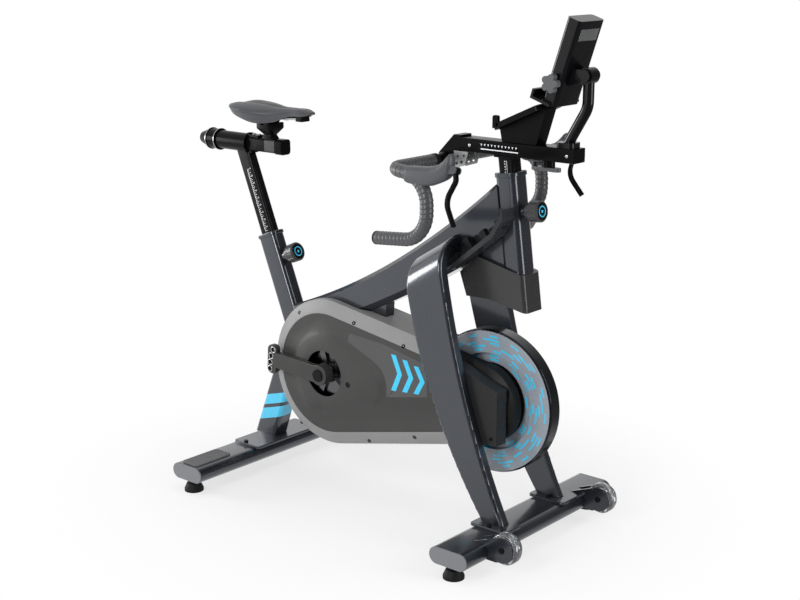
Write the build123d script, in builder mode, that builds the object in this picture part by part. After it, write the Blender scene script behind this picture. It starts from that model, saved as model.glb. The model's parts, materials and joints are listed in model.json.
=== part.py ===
from build123d import *
import os
from math import acos, atan2, cos, degrees, hypot, radians, sin, sqrt, tan

# Exercise bike with a drop handlebar and a belt-driven front flywheel.
# Millimetres, +X forward, +Y to the rider's left, +Z up, floor at Z = 0.
# A name ending in _DX is a distance forward of the crank axis, and a side-view
# point is (distance forward of the crank axis, height above the floor).

# Crank axis
CRANK_X = -118.03
CRANK_Z = 316.0

# Fits
RUNNING_CLEARANCE = 0.05
SLIDE_CLEARANCE = 0.3
COVER_GAP = 2.0

# Stabilisers
STABILISER_WIDTH = 106.0
STABILISER_HEIGHT = 41.0
STABILISER_WALL = 3.0
GROUND_CLEARANCE = 32.5
REAR_STABILISER_DX = -258.0
REAR_STABILISER_LENGTH = 636.0
FRONT_STABILISER_DX = 585.0
FRONT_STABILISER_LENGTH = 586.0
END_CAP_THICKNESS = 4.0
END_CAP_PLUG = 6.0
PAD_LENGTH = 122.0
PAD_WIDTH = 60.0
PAD_THICKNESS = 4.0
PAD_INSET = 6.0

# Levelling feet
FOOT_RADIUS = 25.0
FOOT_TOP_RADIUS = 18.0
FOOT_RIM_HEIGHT = 7.0
FOOT_PAD_HEIGHT = 22.0
FOOT_INSET = 20.0
STUD_RADIUS = 6.0
NUT_RADIUS = 11.0
NUT_HEIGHT = 9.0
STUD_SPARE = 3.0

# Transport wheels
WHEEL_RADIUS = 37.0
WHEEL_WIDTH = 26.0
WHEEL_AHEAD = 90.0
WHEEL_Z = 71.0
WHEEL_Y = 197.0
WHEEL_HUB_RADIUS = 12.0
WHEEL_BORE = 5.0
FORK_PLATE = 5.0
FORK_SIDE_GAP = 1.0
FORK_END_RADIUS = 30.0
FORK_REAR_HEIGHT = 34.0

# Base plates
BASE_PLATE_THICKNESS = 7.0
REAR_PLATE_LENGTH = 96.0
REAR_PLATE_WIDTH = 236.0
REAR_PLATE_AHEAD = 8.0
FRONT_PLATE_LENGTH = 104.0
FRONT_PLATE_WIDTH = 66.0
FRONT_PLATE_Y = 118.0
PLATE_CORNER = 10.0
BOLT_HEAD_RADIUS = 6.0
BOLT_HEAD_HEIGHT = 5.0
BOLT_EDGE = 9.0

# Seat tube and rear leg
SEAT_TUBE_ANGLE = 68.0
SEAT_TUBE_SETBACK = 127.0
SEAT_TUBE_TOP_Z = 630.0
SEAT_TUBE_BOTTOM_Z = 300.0
SEAT_TUBE_DEPTH = 61.0
SEAT_TUBE_WIDTH = 43.0
SEAT_TUBE_CORNER = 12.0
TUBE_WALL = 3.0
REAR_LEG_FOOT_DX = -271.0
REAR_LEG_FOOT_DEPTH = 78.0
REAR_LEG_FOOT_WIDTH = 52.0
REAR_LEG_TOP_DX = -150.0
REAR_LEG_TOP_Z = 412.0
REAR_LEG_TOP_DEPTH = 68.0

# Main beam
BEAM_TOP_REAR = (-172.0, 458.0)
BEAM_TOP_MIDDLE = (178.0, 621.0)
BEAM_TOP_FRONT = (520.0, 872.0)
BEAM_LOW_REAR = (-172.0, 378.0)
BEAM_LOW_MIDDLE = (180.0, 524.0)
BEAM_LOW_FRONT = (560.0, 752.0)
BEAM_REAR_WIDTH = 48.0
BEAM_MIDDLE_DX = 320.0
BEAM_MIDDLE_WIDTH = 80.0
BEAM_FRONT_WIDTH = 60.0
BEAM_CHAMFER = 14.0
BEAM_TOP_CHAMFER = 9.0
BEAM_SLOPE = 33.0
BEAM_RISE_PER_RUN = 0.6
BEAM_WALL = 3.0
BEAM_LAP = 9.0
GUSSET_WIDTH = 52.0

# Head tube
HEAD_ANGLE = 82.5
HEAD_TOP_DX = 525.0
HEAD_TOP_Z = 874.0
HEAD_TUBE_LENGTH = 300.0
HEAD_TUBE_DEPTH = 56.0
HEAD_TUBE_WIDTH = 58.0
HEAD_TUBE_CORNER = 15.0

# Front legs
LEG_REAR_FOOT_DX = 548.0
LEG_REAR_WAIST = (400.0, 342.0)
LEG_REAR_SHOULDER = (308.0, 666.0)
LEG_FRONT_FOOT_DX = 612.0
LEG_FRONT_WAIST = (497.0, 360.0)
LEG_FRONT_SHOULDER = (412.0, 724.0)
LEG_OUTER_Y = 128.0
LEG_THICKNESS = 26.0
LEG_ARCH_RADIUS = 88.0
LEG_CREST_DX = 352.0
LEG_CREST_Z = 697.0
LEG_CREST_SLOPE = 32.0
LEG_EDGE_FILLET = 7.0
LEG_WALL = 3.0

# Post bushes
BUSH_FLANGE = 3.0
BUSH_FLANGE_HEIGHT = 10.0
BUSH_LENGTH = 45.0

# Chin cover and bottle trays
CHIN_REAR_LOW = (429.0, 585.0)
CHIN_REAR_HIGH = (409.0, 640.0)
CHIN_TOP = (460.0, 684.0)
CHIN_FRONT_TOP_Z = 655.0
CHIN_FRONT_LOW_Z = 568.0
CHIN_LOW_BEND = (495.0, 587.0)
CHIN_WALL = 6.0
CHIN_HALF_WIDTH = 36.0
CHIN_CORNER = 12.0
TRAY_LOW_REAR = (418.0, 652.0)
TRAY_LOW_FRONT = (534.0, 744.0)
TRAY_LIP_LOW = (562.0, 790.0)
TRAY_LIP_TOP = (556.0, 832.0)
TRAY_NOTCH = (494.0, 764.0)
TRAY_FENCE = 16.0
TRAY_OUT = 40.0
TRAY_WALL = 3.0
TRAY_EDGE = 8.0
TRAY_CORNER = 14.0

# Flywheel and brake
AXLE_DX = 490.0
AXLE_Z = 334.0
FLYWHEEL_RADIUS = 175.0
FLYWHEEL_THICKNESS = 40.0
FLYWHEEL_RIM_INNER = 118.0
FLYWHEEL_WEB = 16.0
FLYWHEEL_HUB_RADIUS = 34.0
FLYWHEEL_HUB_WIDTH = 46.0
FLYWHEEL_EDGE = 4.0
SHAFT_RADIUS = 8.5
SHAFT_END = 3.0
AXLE_BEARING_RADIUS = 17.5
MAGNET_LENGTH = 72.0
MAGNET_HEIGHT = 86.0
MAGNET_REACH = 20.0
MAGNET_AIR_GAP = 2.5

# Drive frame
STAY_THICKNESS = 8.0
STAY_SIDE_GAP = 6.0
STAY_REAR_RADIUS = 42.0
STAY_FRONT_RADIUS = 34.0
SHELL_RADIUS = 28.0
SHELL_BORE = 22.0
WEB_THICKNESS = 32.0
WEB_FOOT_Z = 296.0
WEB_FRONT_LOW = (62.0, 345.0)
WEB_FRONT_WAIST = (159.0, 466.0)
WEB_FRONT_TOP = (168.0, 560.0)
WEB_REAR_TOP = (-70.0, 480.0)

# Belt drive
BELT_WIDTH = 15.0
BELT_THICKNESS = 3.5
BELT_GAP = 4.5
DRIVE_PULLEY_RADIUS = 120.0
AXLE_PULLEY_RADIUS = 32.0
PULLEY_EXTRA_WIDTH = 2.0
PULLEY_RIM = 8.0
PULLEY_WEB = 5.0
SPIDER_ARMS = 5
SPIDER_RADIUS = 74.0
SPIDER_ARM_WIDTH = 17.0
SPIDER_THICKNESS = 7.0

# Crank
SPINDLE_RADIUS = 12.5
CRANK_INNER_Y = 79.0
CRANK_THICKNESS = 16.0
CRANK_ANGLE = 3.8
CRANK_BOSS_RADIUS = 27.0
CRANK_ROOT_WIDTH = 46.0
CRANK_TIP_WIDTH = 40.0
CRANK_HEAD_LENGTH = 32.0
CRANK_HEAD_WIDTH = 78.0
CRANK_HEAD_CORNER = 13.0
CRANK_EDGE = 2.5
CRANK_BOSS_DEPTH = 12.0
PEDAL_RADII = (165.0, 170.0, 172.5, 175.0)
PEDAL_SPACING = 18.0
PEDAL_HOLE_RADIUS = 6.6
CRANK_BOLT_RADIUS = 16.0
CRANK_BOLT_HEIGHT = 4.0

# Belt covers
COVER_REAR_RADIUS = 190.0
COVER_FRONT_RADIUS = 97.0
COVER_WALL = 3.0
COVER_BAND = 31.0
COVER_BEVEL_Y = 52.0
COVER_FACE_Y = 66.0
COVER_LEDGE = 9.0
COVER_LEDGE_THICKNESS = 3.0
COVER_SPLIT = 0.5
PANEL_THICKNESS = 3.0
PANEL_DEPTH = 6.0
DOME_RISE = 8.0
DOME_RADIUS = 114.0
DOME_NOSE_DX = 140.0
DOME_NOSE_RADIUS = 62.0
DOME_TAPER = 16.0
CRANK_OPENING = 60.0

# Axle supports between the legs and the covers
SUPPORT_REAR_DX = 446.0
SUPPORT_FRONT_DX = 573.0
SUPPORT_LOW_Z = 259.0
SUPPORT_FRONT_Z = 391.0
SUPPORT_REAR_Z = 438.0
SUPPORT_EDGE = 4.0

# Seat post and seat slide
SEATPOST_DEPTH = 45.0
SEATPOST_WIDTH = 29.0
SEATPOST_CORNER = 8.0
SEATPOST_INSERT = 180.0
SEATPOST_WALL = 3.0
SEAT_SLIDE_Z = 872.0
HOUSING_RADIUS = 24.5
HOUSING_AHEAD = 22.0
HOUSING_LENGTH = 108.0
HOUSING_BACK_WALL = 6.0
COLLAR_RADIUS = 29.0
COLLAR_LENGTH = 36.0
COLLAR_STEP = 2.0
COLLAR_BEAD = 4.0
GUIDE_RADIUS = 28.0
GUIDE_THICKNESS = 7.0
GUIDE_LUG_TOP = 46.0
GUIDE_LUG_LOW = 20.0
GUIDE_LUG_HEIGHT = 6.0
GUIDE_LUG_WIDTH = 26.0
SEAT_BAR_HEIGHT = 36.0
SEAT_BAR_WIDTH = 32.0
SEAT_BAR_CORNER = 7.0
SEAT_BAR_INSERT = 98.0
SEAT_BAR_FRONT = 73.0
SLEEVE_BEHIND = -8.0
SLEEVE_WALL = 3.0
SLEEVE_LENGTH = 38.0
SEAT_BAR_CAP = 26.0
SEAT_BAR_CAP_EXTRA = 2.0
LOCK_KNOB_RADIUS = 27.0
LOCK_KNOB_TIP_RADIUS = 15.0
LOCK_KNOB_LENGTH = 34.0
LOCK_KNOB_FLUTES = 12
LOCK_KNOB_FLUTE = 3.0
LOCK_SHAFT_RADIUS = 8.0

# Saddle and its clamp
COLUMN_FOOT_LENGTH = 46.0
COLUMN_FOOT_WIDTH = 30.0
COLUMN_NECK_LENGTH = 32.0
COLUMN_NECK_WIDTH = 24.0
COLUMN_HEAD_LENGTH = 50.0
COLUMN_HEAD_WIDTH = 58.0
COLUMN_HEAD_HEIGHT = 14.0
COLUMN_HEIGHT = 42.0
TILT_RADIUS = 15.7
TILT_RISE = 12.0
CLAMP_LENGTH = 50.0
CLAMP_WIDTH = 46.0
CLAMP_HEIGHT = 10.0
RAIL_RADIUS = 3.5
RAIL_SPREAD = 36.0
RAIL_NOSE_SPREAD = 18.0
RAIL_BEND = 24.0
RAIL_NOSE_RISE = 2.0
RAIL_TAIL_RISE = 10.5
RAIL_NOSE = 118.0
RAIL_TAIL = 84.0
SOCKET_LENGTH = 24.0
SOCKET_WIDTH = 13.0
SOCKET_HEIGHT = 13.2
SOCKET_COVER = 3.2
SADDLE_SHOULDER = 0.45
SADDLE_SIDE = 0.97
SHELL_REACH = 0.94
SADDLE_NOTCH_RADIUS = 36.0
SADDLE_NOTCH_DEPTH = 9.0
SADDLE_SHELL = 3.0
SADDLE_GAP = 0.6

# Height knobs
KNOB_RADIUS = 25.0
KNOB_NECK_RADIUS = 19.0
KNOB_LENGTH = 29.0
KNOB_NECK_LENGTH = 8.0
KNOB_CHAMFER = 3.0
KNOB_FLUTES = 12
KNOB_STEM_RADIUS = 9.0
KNOB_SHAFT_RADIUS = 6.0
KNOB_BOSS_RADIUS = 14.0
KNOB_BOSS_LENGTH = 9.0
KNOB_STEM_LENGTH = 4.0
SEAT_KNOB_DROP = 62.0
BAR_KNOB_DROP = 82.0

# Handlebar post and slider
BAR_POST_DEPTH = 42.0
BAR_POST_WIDTH = 38.0
BAR_POST_CORNER = 8.0
BAR_POST_INSERT = 228.0
SLIDER_Z = 937.0
SLIDER_HEIGHT = 32.0
SLIDER_WIDTH = 46.0
SLIDER_WALL = 3.0
SLIDER_EDGE = 3.0
SLIDER_REAR_DX = 395.0
SLIDER_LENGTH = 312.0
SLIDER_CAP = 6.0
CARRIAGE_LENGTH = 80.0
NECK_LENGTH = 30.0
NECK_WIDTH = 24.0
POST_CAP_LENGTH = 62.0
POST_CAP_THICKNESS = 4.0
SLIDE_FORWARD = 64.0
SLIDE_BACK = 30.0
SLOT_SPARE = 2.0

# Stem, drop bar, tape and hoods
BAR_DX = 352.0
BAR_Z = 900.0
BAR_RADIUS = 12.0
BAR_CLAMP_RADIUS = 15.9
BAR_CLAMP_HALF = 32.0
BAR_CLAMP_TAPER = 18.0
BAR_HALF_WIDTH = 220.0
BAR_REACH = 106.0
BAR_DROP = 150.0
BAR_RAMP_FALL = 8.0
BAR_END_DX = 310.0
BAR_END_Z = 737.0
BAR_CORNER_RADIUS = 36.0
BAR_HOOK_RADIUS = 68.0
TAPE_RADIUS = 16.0
TAPE_GAP = 0.15
TAPE_START = 60.0
STEM_RADIUS = 24.0
STEM_WIDTH = 42.0
STEM_OVERHANG = 5.0
STEM_BLOCK = 20.0
STEM_SPIGOT = 16.0
HOOD_WIDTH = 36.0
HOOD_CORNER = 13.0
HOOD_REAR_DX = 404.0
HOOD_REAR_Z = 893.0
HOOD_REAR_HEIGHT = 40.0
HOOD_MIDDLE_DX = 458.0
HOOD_MIDDLE_Z = 893.0
HOOD_MIDDLE_HEIGHT = 44.0
HOOD_NECK_DX = 496.0
HOOD_NECK_Z = 903.0
HOOD_NECK_HEIGHT = 42.0
HOOD_FRONT_DX = 528.0
HOOD_HORN_Z = 928.0
HOOD_HORN_HEIGHT = 54.0
HOOD_HORN_WIDTH = 32.0
HOOD_NOSE_FILLET = 4.0
EAR_RADIUS = 12.0

# Brake levers
LEVER_PIVOT_DX = 537.0
LEVER_PIVOT_Z = 914.0
LEVER_FLARE = 14.0
LEVER_WIDTH = 14.0
LEVER_THICKNESS = 7.5
LEVER_BOSS = 8.0
LEVER_PIN = 3.0
LEVER_KNEE = (7.0, -22.0)
LEVER_WAIST = (-13.0, -69.0)
LEVER_TIP = (19.0, -119.0)
LEVER_KNEE_RADIUS = 18.0
LEVER_WAIST_RADIUS = 40.0
EAR_THICKNESS = 3.5

# Slider lock lever
LOCK_DX = 627.0
LOCK_BOSS_RADIUS = 15.0
LOCK_BOSS_HEIGHT = 16.0
LOCK_PIN_RADIUS = 5.0
LOCK_LEVER_REAR = 44.0
LOCK_LEVER_FRONT = 32.0
LOCK_LEVER_WIDTH = 18.0
LOCK_LEVER_THICKNESS = 9.0
LOCK_TAB_HEIGHT = 18.0
LOCK_TAB_THICKNESS = 6.0

# Accessory shelf
SHELF_REAR = (506.0, 980.0)
SHELF_FRONT = (632.0, 1036.0)
SHELF_WIDTH = 96.0
SHELF_THICKNESS = 6.0
SHELF_LIP = 7.0
SHELF_LIP_WIDTH = 4.0
SHELF_WEB_REAR_DX = 512.0
SHELF_WEB_FRONT_DX = 606.0
SHELF_WEB_WIDTH = 40.0
SHELF_CORNER = 14.0

# Console arm and tablet holder
ARM_RADIUS = 12.5
ARM_SINK = 2.5
ARM_FOOT_DX = 678.0
ARM_BEND = (726.0, 1043.0)
ARM_TOP_Z = 1104.0
ARM_BEND_RADIUS = 55.0
ARM_SHOE_LENGTH = 44.0
ARM_SHOE_WIDTH = 40.0
ARM_SHOE_HEIGHT = 12.0
HINGE_RISE = 8.0
HOLDER_LEAN = 18.4
HOLDER_FOOT_DX = 653.0
HOLDER_FOOT_Z = 1049.0
HOLDER_LENGTH = 194.0
HOLDER_WIDTH = 96.0
HOLDER_DEPTH = 36.0
HOLDER_CORNER = 9.0
HOLDER_RECESS = 2.5
HOLDER_TRAY_OUT = 24.0
HOLDER_TRAY_WIDTH = 118.0
HOLDER_TRAY_THICKNESS = 6.0
HOLDER_TRAY_LIP = 22.0
HOLDER_TRAY_LAP = 10.0
BOSS_WIDTH = 30.0
BOSS_RADIUS = 18.0
BOSS_GAP = 0.5
HINGE_PIN_RADIUS = 6.0
CHEEK_THICKNESS = 7.0
CHEEK_RADIUS = 14.0
CHEEK_UP = 60.0
STAR_RADIUS = 21.0
STAR_LOBES = 5
STAR_LOBE_RADIUS = 8.0
STAR_THICKNESS = 14.0
STAR_STEM_RADIUS = 5.0
STAR_STEM_LENGTH = 6.0
STAR_SHAFT_LENGTH = 20.0
STAR_UP = 50.0

# Values that follow from the sizes above
STABILISER_Z = GROUND_CLEARANCE + STABILISER_HEIGHT / 2
STABILISER_TOP = GROUND_CLEARANCE + STABILISER_HEIGHT
PLATE_TOP = STABILISER_TOP + BASE_PLATE_THICKNESS
STAY_INNER_Y = FLYWHEEL_THICKNESS / 2 + STAY_SIDE_GAP
STAY_OUTER_Y = STAY_INNER_Y + STAY_THICKNESS
BELT_INNER_Y = STAY_OUTER_Y + BELT_GAP
BELT_OUTER_Y = BELT_INNER_Y + BELT_WIDTH
LEG_INNER_Y = LEG_OUTER_Y - LEG_THICKNESS
SLIDER_TOP = SLIDER_Z + SLIDER_HEIGHT / 2
SLIDER_LOW = SLIDER_Z - SLIDER_HEIGHT / 2
STABILISERS = (
    (REAR_STABILISER_DX, REAR_STABILISER_LENGTH),
    (FRONT_STABILISER_DX, FRONT_STABILISER_LENGTH),
)


def at(point):
    """Side-view point in the frame of the model."""
    return (CRANK_X + point[0], point[1])


CRANK_POINT = (CRANK_X, CRANK_Z)
AXLE_POINT = at((AXLE_DX, AXLE_Z))


def seat_axis(height):
    """Point of the seat tube's axis at a height above the floor."""
    back = SEAT_TUBE_SETBACK + (height - CRANK_Z) / tan(radians(SEAT_TUBE_ANGLE))
    return Vector(CRANK_X - back, 0, height)


def head_axis(height):
    """Point of the head tube's axis at a height above the floor."""
    ahead = HEAD_TOP_DX - (height - HEAD_TOP_Z) / tan(radians(HEAD_ANGLE))
    return Vector(CRANK_X + ahead, 0, height)


def leaning_plane(origin, angle):
    """Plane square to a tube that leans back, with its x axis pointing forward."""
    turn = radians(angle)
    return Plane(origin=origin, x_dir=(sin(turn), 0, cos(turn)), z_dir=(-cos(turn), 0, sin(turn)))


SEAT_PLANE = leaning_plane(seat_axis(SEAT_TUBE_TOP_Z), SEAT_TUBE_ANGLE)
HEAD_PLANE = leaning_plane(head_axis(HEAD_TOP_Z), HEAD_ANGLE)
SEAT_TUBE_LENGTH = (SEAT_TUBE_TOP_Z - SEAT_TUBE_BOTTOM_Z) / sin(radians(SEAT_TUBE_ANGLE))


def ring_slab(plane, outer, inner, corner, length):
    """Rounded rectangular tube that runs from the plane along its normal."""
    with BuildPart() as tube:
        with BuildSketch(plane):
            RectangleRounded(outer[0], outer[1], corner)
            wall = min(outer[0] - inner[0], outer[1] - inner[1]) / 2
            RectangleRounded(inner[0], inner[1], max(corner - wall, 1.0), mode=Mode.SUBTRACT)
        extrude(amount=length)
    return tube.part


def bar_slab(plane, size, corner, length):
    """Rounded rectangular bar that runs from the plane along its normal."""
    with BuildPart() as bar:
        with BuildSketch(plane):
            RectangleRounded(size[0], size[1], corner)
        extrude(amount=length)
    return bar.part


def half_space(plane, low, high, reach):
    """Block between two distances along the plane's x axis, wide and long enough to trim with."""
    with BuildPart() as block:
        with BuildSketch(plane):
            with Locations(((low + high) / 2, 0)):
                Rectangle(high - low, reach)
        extrude(amount=reach, both=True)
    return block.part


def teardrop(rear_radius, front_radius):
    """Outline round the crank axis and the flywheel axle, added to the open sketch."""
    with Locations(CRANK_POINT):
        Circle(rear_radius)
    with Locations(AXLE_POINT):
        Circle(front_radius)
    make_hull()


def cylinder_y(centre, radius, low, high):
    """Cylinder across the bike between two distances towards the rider's right."""
    with BuildPart() as body:
        with BuildSketch(Plane.XZ.offset(low)):
            with Locations(centre):
                Circle(radius)
        extrude(amount=high - low)
    return body.part


def save(piece, node):
    """Label a finished piece and write it to its own file."""
    piece.part.label = node
    export_step(piece.part, f"parts/{node}.step")


os.makedirs("parts", exist_ok=True)


# Base

def stud_places(offset_x, length):
    """Places of the two levelling feet of one stabiliser."""
    across = length / 2 - FOOT_INSET
    return [(CRANK_X + offset_x, side * across) for side in (-1, 1)]


def stabiliser(offset_x, length):
    """Flat oval tube across the bike, drilled below for its levelling feet."""
    with BuildPart() as tube:
        with BuildSketch(Plane.XZ):
            with Locations(at((offset_x, STABILISER_Z))):
                SlotOverall(STABILISER_WIDTH, STABILISER_HEIGHT)
                SlotOverall(
                    STABILISER_WIDTH - 2 * STABILISER_WALL,
                    STABILISER_HEIGHT - 2 * STABILISER_WALL,
                    mode=Mode.SUBTRACT,
                )
        extrude(amount=length / 2, both=True)
        with BuildSketch(Plane.XY.offset(GROUND_CLEARANCE)):
            with Locations(*stud_places(offset_x, length)):
                Circle(STUD_RADIUS + RUNNING_CLEARANCE)
        extrude(amount=STABILISER_WALL, mode=Mode.SUBTRACT)
    return tube


rear_stabiliser = stabiliser(*STABILISERS[0])
save(rear_stabiliser, "rear_stabiliser")
front_stabiliser = stabiliser(*STABILISERS[1])
save(front_stabiliser, "front_stabiliser")

with BuildPart() as stabiliser_end_caps:
    for offset_x, length in STABILISERS:
        with BuildSketch(Plane.XZ.offset(length / 2)):
            with Locations(at((offset_x, STABILISER_Z))):
                SlotOverall(STABILISER_WIDTH, STABILISER_HEIGHT)
        extrude(amount=END_CAP_THICKNESS)
        plug_margin = 2 * (STABILISER_WALL + SLIDE_CLEARANCE)
        with BuildSketch(Plane.XZ.offset(length / 2)):
            with Locations(at((offset_x, STABILISER_Z))):
                SlotOverall(STABILISER_WIDTH - plug_margin, STABILISER_HEIGHT - plug_margin)
        extrude(amount=-END_CAP_PLUG)
    mirror(about=Plane.XZ)
save(stabiliser_end_caps, "stabiliser_end_caps")

with BuildPart() as rear_grip_pads:
    pad_y = REAR_STABILISER_LENGTH / 2 - PAD_INSET - PAD_LENGTH / 2
    with BuildSketch(Plane.XY.offset(STABILISER_TOP)):
        with Locations((CRANK_X + REAR_STABILISER_DX, -pad_y), (CRANK_X + REAR_STABILISER_DX, pad_y)):
            RectangleRounded(PAD_WIDTH, PAD_LENGTH, PLATE_CORNER)
    extrude(amount=PAD_THICKNESS)
    chamfer(rear_grip_pads.faces().group_by(Axis.Z)[-1].edges(), PAD_THICKNESS / 3)
save(rear_grip_pads, "rear_grip_pads")


def levelling_foot(place):
    """Rubber foot on a threaded stud that screws into the stabiliser's weld nut."""
    stud_top = GROUND_CLEARANCE + STABILISER_WALL + NUT_HEIGHT + STUD_SPARE
    with BuildPart() as foot:
        with BuildSketch(Plane(origin=(place[0], place[1], 0), x_dir=(1, 0, 0), z_dir=(0, -1, 0))):
            with BuildLine():
                Polyline(
                    (0, 0),
                    (FOOT_RADIUS, 0),
                    (FOOT_RADIUS, FOOT_RIM_HEIGHT),
                    (FOOT_TOP_RADIUS, FOOT_PAD_HEIGHT),
                    (STUD_RADIUS, FOOT_PAD_HEIGHT),
                    (STUD_RADIUS, stud_top),
                    (0, stud_top),
                    close=True,
                )
            make_face()
        revolve(axis=Axis((place[0], place[1], 0), (0, 0, 1)))
    return foot


for end, (offset_x, length) in zip(("rear", "front"), STABILISERS):
    for side, place in zip(("right", "left"), stud_places(offset_x, length)):
        save(levelling_foot(place), f"levelling_foot_{end}_{side}")

with BuildPart() as base_plates:
    with BuildSketch(Plane.XY.offset(STABILISER_TOP)):
        with Locations((CRANK_X + REAR_STABILISER_DX + REAR_PLATE_AHEAD, 0)):
            RectangleRounded(REAR_PLATE_LENGTH, REAR_PLATE_WIDTH, PLATE_CORNER)
        with Locations(*[(CRANK_X + FRONT_STABILISER_DX, side * FRONT_PLATE_Y) for side in (-1, 1)]):
            RectangleRounded(FRONT_PLATE_LENGTH, FRONT_PLATE_WIDTH, PLATE_CORNER)
    extrude(amount=BASE_PLATE_THICKNESS)
    chamfer(base_plates.faces().group_by(Axis.Z)[-1].edges(), BASE_PLATE_THICKNESS / 4)
save(base_plates, "base_plates")

wheel_centre = at((FRONT_STABILISER_DX + WHEEL_AHEAD, WHEEL_Z))
fork_inner = WHEEL_Y - WHEEL_WIDTH / 2 - FORK_SIDE_GAP
fork_outer = WHEEL_Y + WHEEL_WIDTH / 2 + FORK_SIDE_GAP

with BuildPart() as frame_fasteners:
    # Weld nuts over the levelling feet
    with BuildSketch(Plane.XY.offset(GROUND_CLEARANCE + STABILISER_WALL)):
        for offset_x, length in STABILISERS:
            with Locations(*stud_places(offset_x, length)):
                RegularPolygon(NUT_RADIUS, 6)
                Circle(STUD_RADIUS + RUNNING_CLEARANCE, mode=Mode.SUBTRACT)
    extrude(amount=NUT_HEIGHT)
    # Bolt heads on the base plates
    rear_bolt_y = REAR_PLATE_WIDTH / 2 - BOLT_EDGE
    front_bolt_ys = [FRONT_PLATE_Y + side * (FRONT_PLATE_WIDTH / 2 - BOLT_EDGE) for side in (-1, 1)]
    with BuildSketch(Plane.XY.offset(PLATE_TOP)):
        for side in (-1, 1):
            with Locations((CRANK_X + REAR_STABILISER_DX, side * rear_bolt_y)):
                Circle(BOLT_HEAD_RADIUS)
            with Locations(*[(CRANK_X + FRONT_STABILISER_DX, side * y) for y in front_bolt_ys]):
                Circle(BOLT_HEAD_RADIUS)
    extrude(amount=BOLT_HEAD_HEIGHT)
    # Wheel axles, headed outside both fork plates
    for side in (-1, 1):
        axle_reach = WHEEL_WIDTH / 2 + FORK_SIDE_GAP + FORK_PLATE
        with BuildSketch(Plane.XZ.offset(-side * WHEEL_Y)):
            with Locations(wheel_centre):
                Circle(WHEEL_BORE - RUNNING_CLEARANCE)
        extrude(amount=axle_reach, both=True)
        for end in (-1, 1):
            with BuildSketch(Plane.XZ.offset(-side * WHEEL_Y + end * axle_reach)):
                with Locations(wheel_centre):
                    Circle(BOLT_HEAD_RADIUS + 1)
            extrude(amount=end * BOLT_HEAD_HEIGHT / 2)
save(frame_fasteners, "frame_fasteners")

with BuildPart() as wheel_forks:
    # Two cheeks from the stabiliser to the wheel axle and a bridge behind the wheel
    for low in (fork_inner - FORK_PLATE, fork_outer):
        with BuildSketch(Plane.XZ.offset(low)):
            with Locations(wheel_centre):
                Circle(FORK_END_RADIUS)
            with Locations(at((FRONT_STABILISER_DX + STABILISER_WIDTH / 4, STABILISER_Z + 4))):
                Rectangle(STABILISER_WIDTH / 4, FORK_REAR_HEIGHT)
            make_hull()
            with Locations(wheel_centre):
                Circle(WHEEL_BORE, mode=Mode.SUBTRACT)
        extrude(amount=FORK_PLATE)
    with BuildSketch(Plane.XZ.offset(fork_inner)):
        with Locations(at((FRONT_STABILISER_DX + STABILISER_WIDTH / 2, STABILISER_Z))):
            Rectangle(STABILISER_WIDTH / 2, FORK_REAR_HEIGHT)
    extrude(amount=fork_outer - fork_inner)
    add(
        cylinder_y(wheel_centre, WHEEL_RADIUS + 2 * FORK_SIDE_GAP, fork_inner, fork_outer),
        mode=Mode.SUBTRACT,
    )
    with BuildSketch(Plane.XZ):
        with Locations(at((FRONT_STABILISER_DX, STABILISER_Z))):
            SlotOverall(STABILISER_WIDTH, STABILISER_HEIGHT)
    extrude(amount=FRONT_STABILISER_LENGTH, mode=Mode.SUBTRACT)
    mirror(about=Plane.XZ)
save(wheel_forks, "wheel_forks")


def transport_wheel(side):
    """Moulded wheel: crowned tread, recessed sides and a plain bore."""
    recess = WHEEL_WIDTH / 5
    with BuildPart() as wheel:
        with BuildSketch(Plane.XZ.offset(-side * WHEEL_Y)):
            with Locations(wheel_centre):
                Circle(WHEEL_RADIUS)
                Circle(WHEEL_BORE, mode=Mode.SUBTRACT)
        extrude(amount=WHEEL_WIDTH / 2, both=True)
        outer = wheel.edges().filter_by(GeomType.CIRCLE).group_by(SortBy.RADIUS)[-1]
        fillet(outer, WHEEL_WIDTH / 4)
        for end in (-1, 1):
            with BuildSketch(Plane.XZ.offset(-side * WHEEL_Y + end * WHEEL_WIDTH / 2)):
                with Locations(wheel_centre):
                    Circle(WHEEL_RADIUS - WHEEL_WIDTH / 3)
                    Circle(WHEEL_HUB_RADIUS, mode=Mode.SUBTRACT)
            extrude(amount=-end * recess, mode=Mode.SUBTRACT)
    return wheel


for side, name in ((-1, "right"), (1, "left")):
    save(transport_wheel(side), f"transport_wheel_{name}")


# Frame

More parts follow.
